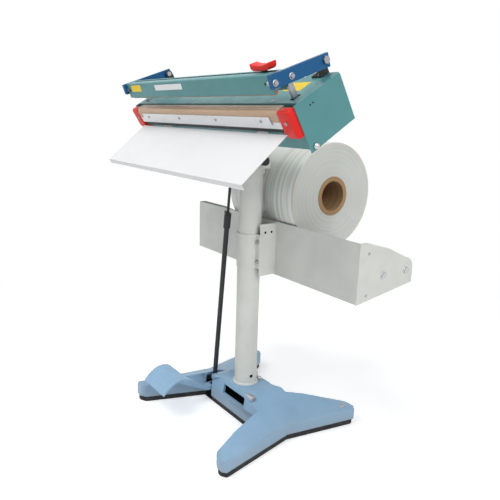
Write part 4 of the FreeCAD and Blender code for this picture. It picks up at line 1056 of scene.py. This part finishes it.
@dataclass
class FilmStation:
    """Wound film and the fasteners of the trough and its clamp, in millimetres."""

    palette: Palette
    left: float = -150.0
    right: float = 116.0
    radius: float = 135.0
    core: float = 50.0
    bands: int = 26
    unevenness: float = 0.5
    end_step: float = 1.0
    end_round: float = 2.4
    edge_drop: float = 0.6
    end_x: float = 330.0
    end_screws: Tuple[Pair, ...] = ((81.5, 508.7), (81.7, 412.0))
    roller_y: Pair = (135.0, 215.0)
    roller_z: float = 452.0
    clamp_x: float = 39.5
    clamp_z: Pair = (434.0, 486.0)
    clamp_front: float = -2.0
    bracket_side: float = 45.0
    bracket_hole_y: Pair = (16.0, 36.0)
    bracket_hole_z: float = 509.0

    def build(self) -> None:
        """Add the wound film, the trough's fasteners and painted shade in the bracket's holes."""
        self._roll()
        screws = Draft()
        for side in (-1.0, 1.0):
            for y, z in self.end_screws:
                screws.pan((side * self.end_x, y, z), Axis.X, 3.6, 1.8 * side)
        screws.finish("trough_screws", self.palette, "stand", Slot.STEEL)
        nuts = Draft()
        for side in (-1.0, 1.0):
            for y in self.roller_y:
                nuts.hexagon((side * self.end_x, y, self.roller_z), Axis.X, 7.0, 6.0 * side)
        nuts.finish("roller_nuts", self.palette, "stand", Slot.CHROME, ["shaft_nuts"])
        bolts = Draft()
        for x in (-self.clamp_x, self.clamp_x):
            for z in self.clamp_z:
                bolts.hexagon((x, self.clamp_front, z), Axis.Y, 4.6, -5.0)
        bolts.finish("clamp_bolt_heads", self.palette, "stand", Slot.STEEL, ["clamp_bolts"])
        # Near-black discs in the bracket's holes: painted shade of the holes.
        hole_shade_discs = Draft()
        for y in self.bracket_hole_y:
            spot = (self.bracket_side, y, self.bracket_hole_z)
            hole_shade_discs.turned(spot, Axis.X, [(-0.3, 3.2), (0.25, 3.2), (0.3, 3.0)], 20)
        hole_shade_discs.finish("bracket_hole_shades", self.palette, "stand", Slot.BLACK_PLASTIC, trim=Trim.HOLE_SHADE)

    def _roll(self) -> None:
        """Wound film with uneven layers on both ends."""
        centre = (0.0, ROLL_CENTRE.y / MM, ROLL_CENTRE.z / MM)
        right_end: List[Pair] = []
        left_end: List[Pair] = []
        for step in range(self.bands + 1):
            radius = self.core + (self.radius - self.edge_drop - self.core) * step / self.bands
            wobble = self.unevenness * math.sin(step * 2.4) * math.sin(step * 0.73 + 1.0)
            right_end.append((self.right - self.end_step + wobble, radius))
            left_end.append((self.left + self.end_step - wobble, radius))
        outside = [(self.right - self.end_round, self.radius), (self.left + self.end_round, self.radius)]
        profile = right_end + outside + list(reversed(left_end))
        Draft().hollow(centre, Axis.X, profile, 144).finish(
            "wound_film", self.palette, "roll", Slot.FILM, ["film_roll"])


@dataclass(frozen=True)
class Lamp:
    """A square soft light."""

    name: str
    spot: Point
    size: float
    power: float


@dataclass
class Stage:
    """Floor, light and camera of the picture."""

    eye: Point = (1.09978, -0.82279, 0.79335)
    azimuth: float = 53.0976
    pitch: float = 13.7884
    roll: float = -1.6909
    focal_px: float = 544.917
    sensor: float = 36.0
    aim: Point = (0.0, 0.0, 0.5)
    key: Lamp = Lamp("key", (3.2, -0.3, 2.4), 2.2, 64.0)
    fill: Lamp = Lamp("fill", (-2.2, -2.4, 2.2), 2.4, 14.0)
    top: Lamp = Lamp("top", (-0.1, -1.4, 3.1), 1.8, 52.0)
    floor_half: float = 30.0
    floor_colour: Colour = (0.93, 0.93, 0.93)
    floor_glow: float = 0.30
    shadow_near: float = 0.55
    shadow_far: float = 1.5
    world_level: float = 0.46
    world_colour: Colour = (0.96, 0.98, 1.0)

    def build(self) -> None:
        """Set up the picture."""
        self._floor()
        self._lights()
        self._camera()
        self._world()
        bpy.context.scene.view_settings.view_transform = "Standard"

    @staticmethod
    def _watched(tree: bpy.types.NodeTree) -> bpy.types.NodeSocket:
        """Tell rays that show the background from rays that light the machine.

        Args:
            tree: node tree of the floor or the world.

        Returns:
            1 for camera, glossy and transmission rays, otherwise 0.
        """
        path = tree.nodes.new("ShaderNodeLightPath")
        total = path.outputs["Is Camera Ray"]
        for ray in ("Is Glossy Ray", "Is Transmission Ray"):
            either = tree.nodes.new("ShaderNodeMath")
            either.operation = "MAXIMUM"
            tree.links.new(total, either.inputs[0])
            tree.links.new(path.outputs[ray], either.inputs[1])
            total = either.outputs[0]
        return total

    def _floor(self) -> None:
        """Pale floor that keeps the machine's shadow and fades to white further out."""
        plane = bmesh.new()
        bmesh.ops.create_grid(plane, x_segments=1, y_segments=1, size=self.floor_half)
        data = bpy.data.meshes.new("floor")
        plane.to_mesh(data)
        plane.free()
        floor = bpy.data.objects.new("floor", data)
        graph = Graph("floor_white")
        graph.shader.inputs["Base Color"].default_value = (*self.floor_colour, 1.0)
        graph.set(roughness=0.9, emission_strength=self.floor_glow)
        graph.shader.inputs["Emission Color"].default_value = (1.0, 1.0, 1.0, 1.0)
        away = graph.tree.nodes.new("ShaderNodeVectorMath")
        away.operation = "LENGTH"
        graph.link(graph.coords, away.inputs[0])
        glow = graph.tree.nodes.new("ShaderNodeEmission")
        fade = graph.tree.nodes.new("ShaderNodeMixShader")
        distance = away.outputs["Value"]
        graph.link(graph.mapped(distance, self.shadow_near, self.shadow_far, 0.0, 1.0), fade.inputs[0])
        graph.link(graph.shader.outputs["BSDF"], fade.inputs[1])
        graph.link(glow.outputs["Emission"], fade.inputs[2])
        plain = graph.tree.nodes.new("ShaderNodeBsdfDiffuse")
        plain.inputs["Color"].default_value = (*self.floor_colour, 1.0)
        choice = graph.tree.nodes.new("ShaderNodeMixShader")
        graph.link(self._watched(graph.tree), choice.inputs[0])
        graph.link(plain.outputs["BSDF"], choice.inputs[1])
        graph.link(fade.outputs["Shader"], choice.inputs[2])
        graph.link(choice.outputs["Shader"], graph.out.inputs["Surface"])
        data.materials.append(graph.material)
        bpy.context.scene.collection.objects.link(floor)

    def _light(self, lamp: Lamp) -> None:
        """Add one light, turned towards the machine.

        Args:
            lamp: its name, place, side in metres and watts.
        """
        data = bpy.data.lights.new(lamp.name, "AREA")
        data.shape = "SQUARE"
        data.size = lamp.size
        data.energy = lamp.power
        piece = bpy.data.objects.new(lamp.name, data)
        piece.location = lamp.spot
        piece.rotation_euler = (Vector(self.aim) - Vector(lamp.spot)).to_track_quat("-Z", "Y").to_euler()
        bpy.context.scene.collection.objects.link(piece)

    def _lights(self) -> None:
        """Soft key from the right, a weak fill from the front left and a light overhead."""
        for lamp in (self.key, self.fill, self.top):
            self._light(lamp)

    def _camera(self) -> None:
        """Camera solved from the photo."""
        turn, dip, roll = (math.radians(angle) for angle in (self.azimuth, self.pitch, self.roll))
        ahead = Vector((-math.sin(turn) * math.cos(dip), math.cos(turn) * math.cos(dip), -math.sin(dip)))
        right = Vector((math.cos(turn), math.sin(turn), 0.0))
        down = ahead.cross(right)
        turned_right = math.cos(roll) * right + math.sin(roll) * down
        turned_down = -math.sin(roll) * right + math.cos(roll) * down
        data = bpy.data.cameras.new("camera")
        data.sensor_width = self.sensor
        data.lens = self.focal_px / PHOTO_SIDE * data.sensor_width
        camera = bpy.data.objects.new("camera", data)
        axes = Matrix((turned_right, -turned_down, -ahead)).transposed().to_4x4()
        camera.matrix_world = Matrix.Translation(self.eye) @ axes
        bpy.context.scene.collection.objects.link(camera)
        bpy.context.scene.camera = camera

    def _world(self) -> None:
        """White to the camera and in reflections, with a softer level for light."""
        world = bpy.data.worlds.new("studio")
        bpy.context.scene.world = world
        world.use_nodes = True
        tree = world.node_tree
        tree.nodes.clear()
        out = tree.nodes.new("ShaderNodeOutputWorld")
        seen = tree.nodes.new("ShaderNodeBackground")
        seen.inputs["Strength"].default_value = 1.0
        seen.inputs["Color"].default_value = (1.0, 1.0, 1.0, 1.0)
        lit = tree.nodes.new("ShaderNodeBackground")
        lit.inputs["Strength"].default_value = self.world_level
        lit.inputs["Color"].default_value = (*self.world_colour, 1.0)
        mix = tree.nodes.new("ShaderNodeMixShader")
        tree.links.new(self._watched(tree), mix.inputs[0])
        tree.links.new(lit.outputs[0], mix.inputs[1])
        tree.links.new(seen.outputs[0], mix.inputs[2])
        tree.links.new(mix.outputs[0], out.inputs["Surface"])


def main() -> None:
    """Dress the CAD model, add the fittings and set the stage."""
    logging.basicConfig(level=logging.INFO)
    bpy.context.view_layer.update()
    palette = Palette().build()
    palette.dress(frame["record"]["subparts"])
    Softened(ROUNDED_NODES).dress()
    for assembly in (Base(palette), Head(palette), UpperJaw(palette), FilmStation(palette)):
        assembly.build()
    Stage().build()


if __name__ == "__main__":
    main()
